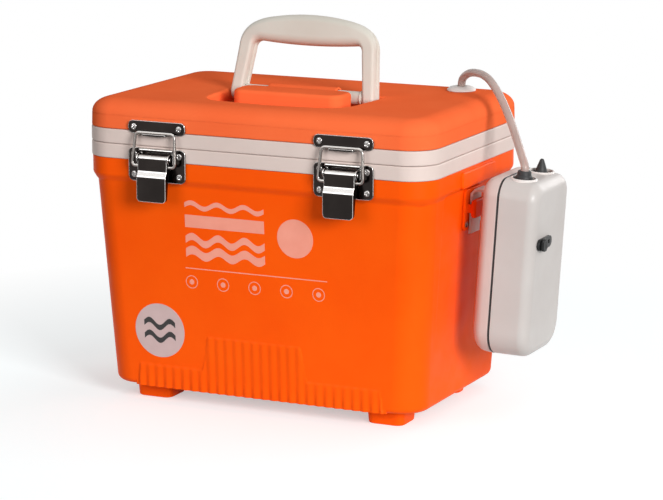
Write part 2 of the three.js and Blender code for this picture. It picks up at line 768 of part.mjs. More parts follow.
function recessCutter(grow = 0) {
  const outline = handleOutline(recess.margin + grow, handle.legDepth / 2 + recess.margin + grow);
  const floor = recessFloor - grow;
  const bay = slab(outline, 'top', 0, height + overrun * 2 - floor, { curve: recessSteps }).scale(1, -1, 1);
  bay.translate(0, handle.pivotY, floor);
  const edge = handle.legOuter;
  const run = recess.rampReach + recess.margin;
  const slope = Math.atan(recess.depth / run);
  const lift = grow / Math.cos(slope);
  const rampShape = (side) => polygonShape([
    [side * (edge - overrun), floor], [side * (edge + recess.margin + grow), floor],
    [side * (edge + run + recess.margin + grow), height + gap],
    [side * (edge + run + recess.margin + grow), height + overrun * 2],
    [side * (edge - overrun), height + overrun * 2],
  ]);
  const front = recess.rampFront + lift;
  const span = front + recess.rampBack + lift;
  const ramps = [1, -1].map((side) => slab(rampShape(side), 'front', -recess.rampBack - lift, span));
  return join(bay, ...ramps);
}

function islandBlock(grow = 0, floor = recessFloor, top = height + island.proud) {
  const half = island.halfWidth + grow;
  const low = -island.front - grow;
  const high = -island.back + grow;
  const outline = roundedShape(half, low, high, island.radius + grow);
  const look = { bevel: island.bevel };
  return slab(outline, 'top', floor - overrun / 2, top - floor + overrun / 2, look);
}

function hookBlock(x) {
  const bore = handle.journalRadius + gap;
  const outer = bore + hook.wall;
  const [py, pz] = [handle.pivotY, handleZ];
  const ear = disc(py, pz, outer, roundSides);
  const rise = pz - recessFloor;
  const stem = polygonShape([
    [py - outer, recessFloor - overrun / 2], [py + outer, recessFloor - overrun / 2],
    [py + outer, recessFloor + rise], [py - outer, recessFloor + rise],
  ]);
  const parts = [ear, stem].map((shape) => slab(shape, 'side', x - hook.halfWidth, hook.halfWidth * 2));
  const wide = hook.halfWidth + gap;
  const hole = slab(disc(py, pz, bore, roundSides), 'side', x - wide, wide * 2);
  const mouth = polygonShape([
    [py, pz - hook.mouth / 2], [py + outer * 2, pz - hook.mouth / 2],
    [py + outer * 2, pz + hook.mouth / 2], [py, pz + hook.mouth / 2],
  ]);
  return cut(join(...parts), hole, slab(mouth, 'side', x - wide, wide * 2));
}

function hoseHole(radius) {
  return rod(radius, plugBottom - overrun, height + overrun, roundSides)
    .translate(grommet.x, grommet.y, 0);
}

function lidShell() {
  const open = cut(lidOutside(), recessCutter());
  const roofed = join(open, common(islandBlock(), lidBlock()));
  const hollow = cut(stack(lidInside()), recessCutter(lid.wall));
  const underIsland = islandBlock(-lid.wall, lidRim, height + island.proud - lid.wall);
  const shell = cut(roofed, hollow, common(underIsland, hollowLimit()), hoseHole(hose.hole));
  return join(shell, hookBlock(handle.journalX), hookBlock(-handle.journalX));
}

function lidBlock() {
  const section = { x: halfX, y: halfY, r: trim.corner };
  return stack([{ ...section, z: recessFloor - lid.wall }, { ...section, z: height * 2 }]);
}

function hollowLimit() {
  const section = { x: halfX, y: halfY, r: trim.corner };
  return stack([{ ...section, z: recessFloor - lid.wall - gap }, { ...section, z: height * 2 }]);
}

function plugSection(inset, z) {
  const x = wellHalf.x - lid.plugGap - inset;
  const y = wellHalf.y - lid.plugGap - inset;
  return { x, y, r: lid.plugCorner - Math.min(inset, lid.plugCorner / 2), z };
}

const lidFlangeTop = lidRim + lid.plugWall;

function lidLiner() {
  const inner = lid.plugWall;
  const tray = stack([
    plugSection(lid.innerCorner / 2, plugBottom),
    plugSection(0, plugBottom + lid.innerCorner / 3),
    plugSection(0, sealBottom),
    plugSection(seal.groove, sealBottom),
    plugSection(seal.groove, sealBottom + seal.height),
    plugSection(0, sealBottom + seal.height),
    plugSection(0, lidRim),
    collarSection(linerFlange, lidRim),
    collarSection(linerFlange, lidFlangeTop),
    plugSection(inner + seal.groove, lidFlangeTop),
    plugSection(inner + seal.groove, plugBottom + inner),
  ]);
  return cut(tray, hoseHole(hose.wellHole));
}

function lidFoam() {
  const low = plugBottom + lid.plugWall + gap;
  const inset = lid.plugWall + seal.groove + gap;
  const roof = lidInside(gap, lidFlangeTop + gap);
  const block = stack([plugSection(inset, low), plugSection(inset, lidFlangeTop + gap), ...roof]);
  return cut(block, recessCutter(lid.wall + gap), hoseHole(hose.neck + gap * 3));
}

function lidSeal() {
  const out = -(lid.plugGap - seal.reachGap);
  const inner = seal.groove - gap;
  const [low, high] = [sealBottom + gap, sealBottom + seal.height - gap];
  const lipShare = 0.3;
  const lip = low + (high - low) * lipShare;
  return stack([
    plugSection(inner, low), plugSection(0, low), plugSection(out, lip),
    plugSection(out, high), plugSection(inner, high),
  ], true);
}

// Latches, drawn at x = 0 and set left or right by their places.

const pivotY = -(plateFront + latch.pivotOut - latch.plate);
const bailPivot = { y: pivotY - latch.bailOut, z: latchZ.pivot - latch.bailDrop };

function cornerScrews(low, high) {
  const x = latch.width / 2 - screw.inset;
  return [x, -x].flatMap((place) => [[place, low + screw.inset], [place, high - screw.inset]]);
}

function latchBase() {
  const outline = roundedShape(latch.width / 2, latchZ.baseBottom, latchZ.baseTop, latch.corner);
  const plate = slab(outline, 'front', plateBack, latch.plate);
  const heads = cornerScrews(latchZ.baseBottom, latchZ.baseTop).map(([x, z]) => (
    towardsFront(fusedScrew()).translate(x, -plateFront, z)
  ));
  const roll = alongX(rod(latch.rollRadius, -latch.rollHalf, latch.rollHalf))
    .translate(0, -(plateBack + latch.rollRadius), latchZ.baseTop - latch.rollRadius);
  return join(plate, roll, latchEar(1), latchEar(-1), ...heads);
}

function latchEar(side) {
  const back = -(plateBack + latch.plate / 2);
  const shape = new THREE.Shape();
  shape.moveTo(back, latchZ.pivot - latch.earFoot / 2);
  shape.absarc(pivotY, latchZ.pivot, latch.earRadius, -Math.PI / 2, Math.PI / 2, true);
  shape.lineTo(back, latchZ.pivot + latch.earRadius);
  punched(shape, [disc(pivotY, latchZ.pivot, latch.pinRadius + gap)]);
  const inner = latch.leverHalf + gap;
  const start = side > 0 ? inner : -inner - latch.earWall;
  return slab(shape, 'side', start, latch.earWall);
}

function latchPin() {
  const reach = latch.leverHalf + gap + latch.earWall + latch.earWall / 2;
  return alongX(rod(latch.pinRadius, -reach, reach)).translate(0, pivotY, latchZ.pivot);
}

function strikePlate() {
  const z = (latchZ.strikeBottom + latchZ.strikeTop) / 2;
  const x = latch.width / 2 - screw.inset;
  const outline = roundedShape(latch.width / 2, latchZ.strikeBottom, latchZ.strikeTop, latch.corner);
  const holes = [screwHole(x, z), screwHole(-x, z)];
  const plate = slab(punched(outline, holes), 'front', plateBack, latch.plate);
  const floor = latchZ.bailTop - latch.wire - gap - latch.hookSheet / 2;
  const lipY = -(plateFront + latch.bailTopOut - latch.plate + latch.wire + gap + latch.hookSheet / 2);
  const sheet = sheetShape([
    [-plateFront + latch.plate / 2, latchZ.strikeBottom + latch.plate],
    [-plateFront - latch.hookSheet / 2, floor], [lipY, floor], [lipY, floor + latch.hookRise],
  ], latch.hookSheet);
  return join(plate, slab(sheet, 'side', -latch.hookHalf, latch.hookHalf * 2));
}

function latchLever() {
  const [py, pz] = [pivotY, latchZ.pivot];
  const webTop = [py - latch.leverRoll + latch.leverSheet / 2, pz];
  const jogZ = latchZ.step - latch.stepHeight;
  const web = sheetShape([
    webTop, [py - latch.leverOut, latchZ.step + latch.stepHeight],
    [py - latch.leverTailOut, jogZ - latch.stepHeight], [py - latch.leverTailOut, latchZ.leverBottom],
  ], latch.leverSheet);
  const flangeShape = new THREE.Shape();
  const tailBack = py - latch.leverTailOut + latch.leverFlange;
  flangeShape.moveTo(py - latch.leverOut, latchZ.step + latch.stepHeight);
  flangeShape.lineTo(py - latch.leverTailOut, jogZ - latch.stepHeight);
  flangeShape.lineTo(py - latch.leverTailOut, latchZ.leverBottom);
  flangeShape.lineTo(tailBack - latch.leverFlange / 2, latchZ.leverBottom);
  flangeShape.lineTo(tailBack, jogZ - latch.stepHeight);
  flangeShape.lineTo(py + latch.leverFlange / 2, latchZ.step + latch.stepHeight);
  flangeShape.absarc(py, pz, latch.leverRoll, 0, Math.PI);
  const holes = [
    disc(py, pz, latch.pinRadius + gap), disc(bailPivot.y, bailPivot.z, latch.wire + gap),
  ];
  punched(flangeShape, holes);
  const wide = latch.leverHalf;
  const thin = latch.leverSheet;
  const flanges = [wide - thin, -wide].map((x) => slab(flangeShape, 'side', x, thin));
  const inner = wide - thin / 2;
  const bore = latch.pinRadius + gap;
  const ring = [
    [bore, -inner], [latch.leverRoll, -inner], [latch.leverRoll, inner], [bore, inner], [bore, -inner],
  ];
  const roll = alongX(turned(ring, smallSides)).translate(0, py, pz);
  const [stepLow, stepHigh] = [-1, 1].map((sign) => latchZ.step + sign * latch.stepHeight / 2);
  const stepShape = roundedShape(latch.stepHalf, stepLow, stepHigh, latch.stepRadius);
  const stepStart = -py + latch.leverOut - latch.stepProud;
  const step = slab(stepShape, 'front', stepStart, latch.stepProud * 2 + thin);
  const face = roundedShape(wide, latchZ.leverBottom, pz + latch.leverRoll * 2, latch.leverCorner);
  const limit = slab(face, 'front', 0, -py + latch.leverTailOut + overrun);
  return common(join(slab(web, 'side', -wide, wide * 2), ...flanges, roll, step), limit);
}

function latchBail() {
  const { bailHalfTop: topHalf, bailHalfFoot: footHalf } = latch;
  const topY = -(plateFront + latch.bailTopOut - latch.plate);
  const inner = latch.leverHalf - latch.leverSheet - gap;
  const side = (s) => [
    new THREE.Vector3(s * inner, bailPivot.y, bailPivot.z),
    new THREE.Vector3(s * footHalf, bailPivot.y, bailPivot.z),
    new THREE.Vector3(s * topHalf, topY, latchZ.bailTop),
  ];
  const points = [...side(-1), ...side(1).reverse()];
  return wireAlong(points, latch.wire, wireSides, latch.bailSteps, latch.bailCurl);
}

// Hinges at the rear.

const hingeAxis = { y: halfY + gap + hinge.barrel, z: parting };

function hingeLeaf(low, high, knuckles) {
  const x = hinge.width / 2 - screw.inset;
  const outline = roundedShape(hinge.width / 2, low, high, hinge.corner);
  const leaf = slab(outline, 'front', -halfY - gap - hinge.plate, hinge.plate);
  const heads = [-x, 0, x].map((place) => (
    towardsBack(fusedScrew()).translate(place, halfY + gap + hinge.plate, (low + high) / 2)
  ));
  const bore = hinge.pin + gap;
  const barrels = knuckles.map(([from, to]) => {
    const ring = [[bore, from], [hinge.barrel, from], [hinge.barrel, to], [bore, to], [bore, from]];
    return alongX(turned(ring, smallSides)).translate(0, hingeAxis.y, hingeAxis.z);
  });
  const hole = alongX(rod(bore, -hinge.width, hinge.width)).translate(0, hingeAxis.y, hingeAxis.z);
  return cut(join(leaf, ...barrels, ...heads), hole);
}

function hingePieces() {
  const end = hinge.width / 2;
  const inner = hinge.width * hinge.knuckleShare / 2;
  const outerKnuckles = [[-end, -inner - gap], [inner + gap, end]];
  const lower = hingeLeaf(parting - hinge.leafLow, hingeAxis.z - gap, outerKnuckles);
  const upper = hingeLeaf(hingeAxis.z + gap, parting + hinge.leafRise, [[-inner, inner]]);
  return { lower: trimKnuckle(lower, -1), upper: trimKnuckle(upper, 1) };
}

// Keeps each leaf's flat part clear of the other leaf's knuckles.

function trimKnuckle(leaf, sign) {
  const end = hinge.width / 2 + gap;
  const inner = hinge.width * hinge.knuckleShare / 2 + gap;
  const spans = sign > 0 ? [[-end, -inner + gap], [inner - gap, end]] : [[-inner, inner]];
  const clear = hinge.barrel + gap;
  const cutters = spans.map(([from, to]) => (
    alongX(rod(clear, from, to, roundSides)).translate(0, hingeAxis.y, hingeAxis.z)
  ));
  return cut(leaf, ...cutters);
}

function hingePin() {
  const reach = hinge.width / 2 + gap;
  const headShare = 1.5;
  const head = hinge.pin * headShare;
  const profile = [
    [0, -reach - hinge.pin], [head, -reach - hinge.pin], [head, -reach], [hinge.pin, -reach],
    [hinge.pin, reach], [head, reach], [head, reach + hinge.pin], [0, reach + hinge.pin],
  ];
  return alongX(turned(profile, smallSides)).translate(0, hingeAxis.y, hingeAxis.z);
}

// Pump, drawn about its middle: X outwards, Y across, Z up.

function pumpSection(x, extra = 0) {
  const round = (radius) => Math.max(radius - extra, gap);
  const far = Math.abs(x - pump.seam) / (pump.halfDepth - pump.seam);
  const lean = pump.taper * far;
  return {
    x: pump.halfWidth - extra - lean, y: pump.halfHeight - extra - lean,
    r: round(pump.cornerTop), rLow: round(pump.cornerBottom), z: x,
  };
}

// Case sections are stacked along Z, then laid so that Z points outwards and Y points up.

const caseFrame = new THREE.Matrix4().makeBasis(axisY, axisZ, axisX);

function caseStack(sections, loop = false) {
  return stack(sections, loop).applyMatrix4(caseFrame);
}

function caseHalf(seamX, endX, extra = 0) {
  const sign = Math.sign(endX - seamX);
  const radius = Math.max(pump.edge - extra, gap);
  const end = endX - sign * extra;
  const edge = quarterSteps(filletSteps).reverse().map(([inward, up]) => (
    pumpSection(end - sign * radius * up, extra + radius * inward)
  ));
  return caseStack([pumpSection(seamX, extra), ...edge]);
}

function pocketTool(y, radius, floor) {
  return rod(radius, floor, pump.halfHeight + overrun * 2, roundSides).translate(outlet.x, y, 0);
}

const pocketFloor = pump.halfHeight - outlet.pocketDepth;

function pumpFrontCase() {
  const seamX = pump.seam + pump.sealHalf + gap;
  const outer = caseHalf(seamX, pump.halfDepth);
  const inner = caseHalf(seamX - overrun, pump.halfDepth, pump.wall);
  const pockets = [outlet.hoseY, outlet.coneY];
  const tools = pockets.map((y) => pocketTool(y, outlet.pocket, pocketFloor));
  const grown = pockets.map((y) => pocketTool(y, outlet.pocket + pump.wall, pocketFloor - pump.wall));
  const spigots = pockets.map((y) => (
    rod(chamber.spigot + gap, chamber.z, pocketFloor + overrun).translate(outlet.x, y, 0)
  ));
  const slotZ = slider.z;
  const slot = slab(
    boxShape(-slider.slotHalf, slider.slotHalf, slotZ - slider.slotHeight, slotZ + slider.slotHeight),
    'side', pump.halfDepth - pump.wall - overrun, overrun * 3,
  ).translate(0, slider.y, 0);
  return cut(cut(outer, ...tools), cut(inner, ...grown), ...spigots, slot);
}

function pumpBackCase() {
  const seamX = pump.seam - pump.sealHalf - gap;
  const outer = caseHalf(seamX, -pump.halfDepth);
  const inner = caseHalf(seamX + overrun, -pump.halfDepth, pump.wall);
  const limit = caseHalf(cell.x + contact.halfDepth, -pump.halfDepth, pump.wall / 2);
  return join(cut(outer, inner), common(caseRibs(), limit));
}

// Ribs in the back case carry the cells, their contacts, the motor and the valve chamber.

const ribBack = -pump.halfDepth + pump.wall / 2;

function boxShape(fromX, toX, fromY, toY) {
  return polygonShape([[fromX, fromY], [toX, fromY], [toX, toY], [fromX, toY]]);
}

function shelf(low, front, half, thickness = cradle.rib) {
  return slab(boxShape(ribBack, front, -half, half), 'top', low, thickness);
}

function caseRibs() {
  const cellShares = [0.25, 0.75];
  const motorShares = [-0.3, 0.3];
  const front = cell.x + contact.halfDepth;
  const seat = upperContactZ + contact.sheet + gap;
  const cellRibs = cellShares.map((share) => (
    shelf(cell.top - cell.length * share, cradle.reach, pump.halfWidth)
  ));
  const cells = [1, -1].map((side) => (
    rod(cell.radius + gap, cell.top - cell.length, cell.top, roundSides)
      .translate(cell.x, side * cell.spacing / 2, 0)
  ));
  const motorRib = boxShape(ribBack, cradle.reach, seat, motor.z + cradle.motorRise);
  const motorRibs = motorShares.map((share) => (
    slab(motorRib, 'front', -motor.y - motor.length * share - cradle.rib / 2, cradle.rib)
  ));
  const bore = towardsBack(rod(motor.radius + gap, -motor.length, motor.length, roundSides))
    .translate(cell.x, motor.y, motor.z);
  const postFront = outlet.x - chamber.spigot - chamber.halfX - gap;
  const post = shelf(chamber.z - cradle.postHeight / 2, postFront, cradle.postHalf, cradle.postHeight);
  return join(
    cut(join(...cellRibs), ...cells), cut(join(...motorRibs), bore), post,
    shelf(lowerContactZ - gap - cradle.rib, front, cradle.shelfHalf), shelf(seat, front, cradle.shelfHalf),
  );
}

function pumpSeal() {
  const [back, front] = [pump.seam - pump.sealHalf, pump.seam + pump.sealHalf];
  const proud = -gap / 2;
  return caseStack([
    pumpSection(back, proud), pumpSection(front, proud),
    pumpSection(front, pump.wall), pumpSection(back, pump.wall),
  ], true);
}

function hoseBoot() {
  const { boot, bootRise, neck, neckRise, stub } = outlet;
  const base = pocketFloor + gap;
  const profile = [
    [stub + gap, base], [boot, base], [boot, base + bootRise], [neck, base + bootRise],
    [neck, base + neckRise], [stub + gap, base + neckRise], [stub + gap, base],
  ];
  return turned(profile).translate(outlet.x, outlet.hoseY, 0);
}

function hoseStub() {
  const { stub, neckRise, stubRise, collar } = outlet;
  const base = pocketFloor + gap;
  const top = base + neckRise;
  const lipShare = 0.6;
  const profile = [
    [0, chamber.z + chamber.halfZ + gap], [stub, chamber.z + chamber.halfZ + gap], [stub, top + gap],
    [collar * lipShare, top + gap], [collar * lipShare, top + gap + stubRise / 2],
    [stub, top + gap + stubRise], [0, top + gap + stubRise],
  ];
  return turned(profile, smallSides).translate(outlet.x, outlet.hoseY, 0);
}

function airCone() {
  const { boot, flangeRise, coneFoot, coneTip, coneRise, collar, collarRise, stub } = outlet;
  const base = pocketFloor + gap;
  const waist = base + flangeRise;
  const profile = [
    [0, chamber.z + chamber.halfZ + gap], [stub, chamber.z + chamber.halfZ + gap], [stub, base],
    [boot, base], [boot, waist], [collar, waist], [collar, waist + collarRise / 2],
    [coneFoot, waist + collarRise], [coneTip, waist + coneRise], [0, waist + coneRise],
  ];
  return turned(profile).translate(outlet.x, outlet.coneY, 0);
}

function dryCell(side) {
  const { radius, length, x, top, nub, nubRise } = cell;
  const rimShare = 0.94;
  const profile = [
    [0, top - length], [radius * rimShare, top - length], [radius, top - length + nubRise],
    [radius, top - nubRise], [radius * rimShare, top], [nub, top], [nub, top + nubRise],
    [0, top + nubRise],
  ];
  return turned(profile).translate(x, side * cell.spacing / 2, 0);
}

const lowerContactZ = cell.top - cell.length - gap - contact.springRise - contact.sheet;
const upperContactZ = cell.top + cell.nubRise + gap;

function contactStrip(z, halfWidth) {
  const shape = roundedShape(contact.halfDepth, -halfWidth, halfWidth, contact.sheet);
  return slab(shape, 'top', z, contact.sheet).translate(cell.x, 0, 0);
}

function lowerContact() {
  const top = cell.top - cell.length - gap;
  const base = lowerContactZ + contact.sheet / 2;
  const strip = contactStrip(lowerContactZ, contact.halfWidth);
  const profile = [[0, base], [contact.springRadius, base], [contact.springRadius / 2, top], [0, top]];
  const springs = [1, -1].map((side) => (
    turned(profile, smallSides).translate(cell.x, side * cell.spacing / 2, 0)
  ));
  return join(strip, ...springs);
}

function upperContact(side) {
  const half = contact.halfDepth;
  return slab(roundedShape(half, -half, half, contact.sheet), 'top', upperContactZ, contact.sheet)
    .translate(cell.x, side * cell.spacing / 2, 0);
}

function motorSolid() {
  const { radius, length, shaft } = motor;
  const bossShare = 0.45;
  const boss = radius * bossShare;
  const half = length / 2;
  const profile = [
    [0, -half - shaft], [boss, -half - shaft], [boss, -half], [radius, -half], [radius, half],
    [boss, half], [boss, half + shaft], [0, half + shaft],
  ];
  return towardsBack(turned(profile)).translate(cell.x, motor.y, motor.z);
}

const crankY = motor.y + motor.length / 2 + motor.shaft + gap;

function crankWheel() {
  const { radius, thickness, pinRadius, pinReach, pinOffset } = crank;
  const wheel = towardsBack(rod(radius, 0, thickness, roundSides));
  const pin = towardsBack(rod(pinRadius, thickness / 2, thickness + pinReach)).translate(0, 0, pinOffset);
  return join(wheel, pin).translate(cell.x, crankY, motor.z);
}

function diaphragmSolid() {
  const { radius, thickness, rod: stem, rodReach } = diaphragm;
  const high = chamber.z - chamber.halfZ - gap;
  const low = high - thickness;
  const waistShare = 0.7;
  const profile = [
    [0, low - rodReach], [stem, low - rodReach], [stem, low], [radius * waistShare, low],
    [radius, high - thickness / 2], [radius, high], [0, high],
  ];
  return turned(profile).translate(outlet.x, diaphragm.y, 0);
}

function chamberBlock() {
  const mid = (outlet.hoseY + outlet.coneY) / 2;
  const halfWide = (outlet.coneY - outlet.hoseY) / 2 + chamber.depth / 2;
  const outline = roundedShape(chamber.halfX, -halfWide, halfWide, chamber.spigot);
  return slab(outline, 'top', chamber.z - chamber.halfZ, chamber.halfZ * 2)
    .translate(outlet.x - chamber.spigot, mid, 0);
}

function switchPlate() {
  const { halfLength, halfHeight, slotHalf, slotHeight, z, y, proud } = slider;
  const face = pump.halfDepth + gap;
  const outline = roundedShape(halfLength, z - halfHeight, z + halfHeight, halfHeight - gap);
  const opening = boxShape(-slotHalf, slotHalf, z - slotHeight, z + slotHeight);
  const outer = slab(outline, 'side', face, proud, { bevel: gap * 2 });
  return cut(outer, slab(opening, 'side', face - proud, proud * 3)).translate(0, y, 0);
}

function switchKnob() {
  const { knobHalf, knobHeight, knobRise, proud, slotHalf, slotHeight, z, y } = slider;
  const face = pump.halfDepth + gap + proud + gap;
  const cap = slab(
    roundedShape(knobHalf, z - knobHeight, z + knobHeight, gap * 4), 'side', face, knobRise,
    { bevel: gap * 2 },
  );
  const stemHalf = slotHeight - gap;
  const stem = slab(
    boxShape(-knobHalf / 2, knobHalf / 2, z - stemHalf, z + stemHalf), 'side',
    pump.halfDepth - pump.wall, proud + pump.wall + knobRise / 2,
  );
  return join(cap, stem).translate(0, y - slotHalf + knobHalf / 2 + gap, 0);
}

function caseScrew(signY, signZ) {
  const y = signY * (pump.halfWidth - pump.edge - screw.inset);
  const z = signZ * (pump.halfHeight - pump.edge * 2);
  const profile = [[0, gap], [screw.head, gap], [screw.head, screw.rise], [0, screw.rise + gap]];
  const head = turned(profile, screw.sides);
  return alongX(head).rotateY(Math.PI).translate(-pump.halfDepth, y, z);
}

// Bracket and clip that carry the pump on the tub's right wall.

function panelX(z) {
  const share = THREE.MathUtils.clamp((z - panel.bottom) / (stepZ - panel.bottom), 0, 1);
  return halfX - tubInset(z) - panel.depth * share;
}

const bracketTilt = Math.atan((panelX(bracketTop) - panelX(bracketBottom)) / bracket.tall);
const bracketFoot = { x: panelX(bracketBottom) + gap, z: bracketBottom };

function onPanel(geometry) {
  return geometry.translate(0, 0, -bracketFoot.z).rotateY(bracketTilt)
    .translate(bracketFoot.x, 0, bracketFoot.z);
}

const bracketScrewPlace = {
  y: bracket.halfWidth - screw.head - gap * 4, z: bracketBottom + screw.inset,
};

function pumpBracket() {
  const { plate, halfWidth, radius, barHalf, barSheet } = bracket;
  const holes = [1, -1].map((side) => screwHole(side * bracketScrewPlace.y, bracketScrewPlace.z));
  const outline = punched(roundedShape(halfWidth, bracketBottom, bracketTop, radius), holes);
  const base = slab(outline, 'side', 0, plate);
  const barStart = plate + bracket.standoff;
  const barShape = roundedShape(barHalf, barBottom, barTop, bracket.barRadius);
  const bar = slab(barShape, 'side', barStart, barSheet, { bevel: bracket.barEdge });
  const posts = [1, -1].map((side) => {
    const mid = side * (barHalf - bracket.post / 2 - bracket.barEdge);
    const [low, high] = [barBottom + radius, barTop - radius];
    const postShape = boxShape(-bracket.post / 2, bracket.post / 2, low, high);
    return slab(postShape, 'side', plate / 2, bracket.standoff + plate).translate(0, mid, 0);
  });
  return onPanel(join(base, bar, ...posts));
}

function bracketScrew(side) {
  const { y, z } = bracketScrewPlace;
  return onPanel(alongX(looseScrew(bracket.plate)).translate(bracket.plate, side * y, z));
}

function beltClip() {
  const slotX = (z) => bracketFoot.x + (z - bracketFoot.z) * Math.tan(bracketTilt)
    + bracket.plate + bracket.standoff / 2;
  const backX = (z) => pumpPlace.x - pump.halfDepth / Math.cos(pump.lean)
    + (z - pumpPlace.z) * Math.tan(pump.lean) - gap - clip.sheet / 2;
  const crest = barTop + clip.crestRise;
  const tongue = bracketBottom - clip.tongueLow;
  const root = bracketBottom - clip.rootLow;
  const shoulder = crest - clip.bend;
  const path = [
    [slotX(tongue), tongue], [slotX(shoulder), shoulder], [slotX(shoulder) + clip.bend, crest],
    [backX(shoulder) - clip.bend, crest], [backX(shoulder), shoulder],
    [backX(root), root],
  ];
  return slab(sheetShape(path, clip.sheet), 'front', -clip.halfWidth, clip.halfWidth * 2);
}

// Air line.

function grommetSolid() {
  const { grommetRadius, grommetRise, neck, neckDrop, bore, flare } = hose;
  const base = height + gap;
  const rimShare = 0.8;
  const edgeShare = 0.35;
  const profile = [
    [bore, height - neckDrop], [neck, height - neckDrop], [neck, base], [grommetRadius, base],
    [grommetRadius, base + grommetRise * edgeShare],
    [grommetRadius * rimShare, base + grommetRise * rimShare],
    [neck, base + grommetRise], [bore + flare, base + grommetRise], [bore, height],
    [bore, height - neckDrop],
  ];
  return turned(profile).translate(grommet.x, grommet.y, 0);
}

function hoseEnd() {
  const top = pocketFloor + outlet.neckRise + outlet.stubRise + gap * 3;
  const local = new THREE.Vector3(outlet.x, outlet.hoseY, top);
  const up = new THREE.Vector3(outlet.x, outlet.hoseY, top + hose.radius * 2);
  return [up, local].map((point) => (
    point.applyAxisAngle(axisY, pump.lean).add(pumpPlace)
  ));
}

function routeBetween(from, to, shares) {
  return shares.map((share) => new THREE.Vector3(
    ...[from.x, from.y, from.z].map((start, i) => (
      THREE.MathUtils.lerp(start, to.getComponent(i), share[i])
    )),
  ));
}

function freeHose() {
  const [above, end] = hoseEnd();
  const start = grommet.clone().setZ(height + gap);
  return hoseAlong([...routeBetween(start, end, freeShares), above, end], hose.steps);
}

function wellHose() {
  const top = stonePlace.bottom + stone.length + stone.stemRise + gap * 2;
  const end = new THREE.Vector3(stonePlace.x, stonePlace.y, top);
  return hoseAlong(routeBetween(grommet, end, dropShares), hose.dropSteps);
}

function airStone() {
  const { radius, length, round, stem, stemRise } = stone;
  const { x, y, bottom } = stonePlace;
  const top = bottom + length;
  const profile = [
    [0, bottom], [radius - round, bottom], [radius, bottom + round], [radius, top - round],
    [radius - round, top], [stem, top], [stem, top + stemRise], [0, top + stemRise],
  ];
  return turned(profile).translate(x, y, 0);
}

// Put together.

function addTub(parent) {
  piece(parent, 'outer_shell', outerShell(), finish.orange);
  piece(parent, 'foam_core', foamCore(), finish.foam);
  piece(parent, 'inner_liner', innerLiner(), finish.liner);
  const band = trimBand(trimBottom, lowerBandTop, lowerBandTop - trim.flange, gap);
  piece(parent, 'lower_trim_band', band, finish.trim);
}

function addLatch(parent, name, side) {
  const place = [side * (halfX - latch.inset), 0, 0];
  piece(parent, `latch_base_${name}`, latchBase(), finish.steel, place);
  piece(parent, `latch_pin_${name}`, latchPin(), finish.steel, place);
  piece(parent, `strike_plate_${name}`, strikePlate(), finish.steel, place);
  const strikeZ = (latchZ.strikeBottom + latchZ.strikeTop) / 2;
  const strikeX = latch.width / 2 - screw.inset;
  ['outer', 'inner'].forEach((end, i) => {
    const x = side * (i === 0 ? strikeX : -strikeX);
    const solid = towardsFront(looseScrew(latch.plate)).translate(x, -plateFront, strikeZ);
    piece(parent, `strike_screw_${name}_${end}`, solid, finish.steel, place);
  });
  piece(parent, `latch_lever_${name}`, latchLever(), finish.steel, place);
  piece(parent, `latch_bail_${name}`, latchBail(), finish.steel, place);
}

function addHinge(parent, name, side) {
  const { lower, upper } = hingePieces();
  const place = [side * (halfX - hinge.inset), 0, 0];
  piece(parent, `hinge_leaf_lower_${name}`, lower, finish.steel, place);
  piece(parent, `hinge_leaf_upper_${name}`, upper, finish.steel, place);
  piece(parent, `hinge_pin_${name}`, hingePin(), finish.steel, place);
}

function addLid(parent) {
  piece(parent, 'lid_shell', lidShell(), finish.lidOrange);
  piece(parent, 'lid_foam', lidFoam(), finish.foam);
  piece(parent, 'lid_liner', lidLiner(), finish.liner);
  piece(parent, 'lid_seal', lidSeal(), finish.rubber);
  const band = trimBand(trimTop, upperBandBottom, upperBandBottom + trim.flange, gap);
  piece(parent, 'upper_trim_band', band, finish.trim);
  piece(parent, 'handle', handleSolid(), finish.handle, [0, handle.pivotY, handleZ]);
}

function addPump(parent) {
  const group = new THREE.Group();
  group.position.copy(pumpPlace);
  group.rotation.y = pump.lean;
  parent.add(group);
  piece(group, 'pump_back_case', pumpBackCase(), finish.pump);
  piece(group, 'pump_case_seal', pumpSeal(), finish.black);
  piece(group, 'pump_front_case', pumpFrontCase(), finish.pump);
  piece(group, 'hose_boot', hoseBoot(), finish.black);
  piece(group, 'hose_stub', hoseStub(), finish.white);
  piece(group, 'air_cone', airCone(), finish.black);
  piece(group, 'dry_cell_front', dryCell(-1), finish.cell);
  piece(group, 'dry_cell_back', dryCell(1), finish.cell);
  piece(group, 'battery_spring_contact', lowerContact(), finish.brass);
  piece(group, 'battery_contact_front', upperContact(-1), finish.brass);
  piece(group, 'battery_contact_back', upperContact(1), finish.brass);
  piece(group, 'pump_motor', motorSolid(), finish.steel);
  piece(group, 'crank_wheel', crankWheel(), finish.white);
  piece(group, 'diaphragm', diaphragmSolid(), finish.rubber);
  piece(group, 'valve_chamber', chamberBlock(), finish.white);
  piece(group, 'switch_plate', switchPlate(), finish.black);
  piece(group, 'switch_knob', switchKnob(), finish.black);
  [[-1, 1], [1, 1], [-1, -1], [1, -1]].forEach(([y, z], i) => {
    piece(group, `case_screw_${i + 1}`, caseScrew(y, z), finish.steel);
  });
  piece(parent, 'pump_bracket', pumpBracket(), finish.white);
  piece(parent, 'bracket_screw_front', bracketScrew(-1), finish.steel);
  piece(parent, 'bracket_screw_back', bracketScrew(1), finish.steel);
  piece(parent, 'belt_clip', beltClip(), finish.white);
}

function addAirLine(parent) {
  piece(parent, 'lid_grommet', grommetSolid(), finish.white);
  piece(parent, 'air_hose', freeHose(), finish.hose);
  piece(parent, 'air_hose_in_well', wellHose(), finish.hose);
  piece(parent, 'air_stone', airStone(), finish.stone);
}

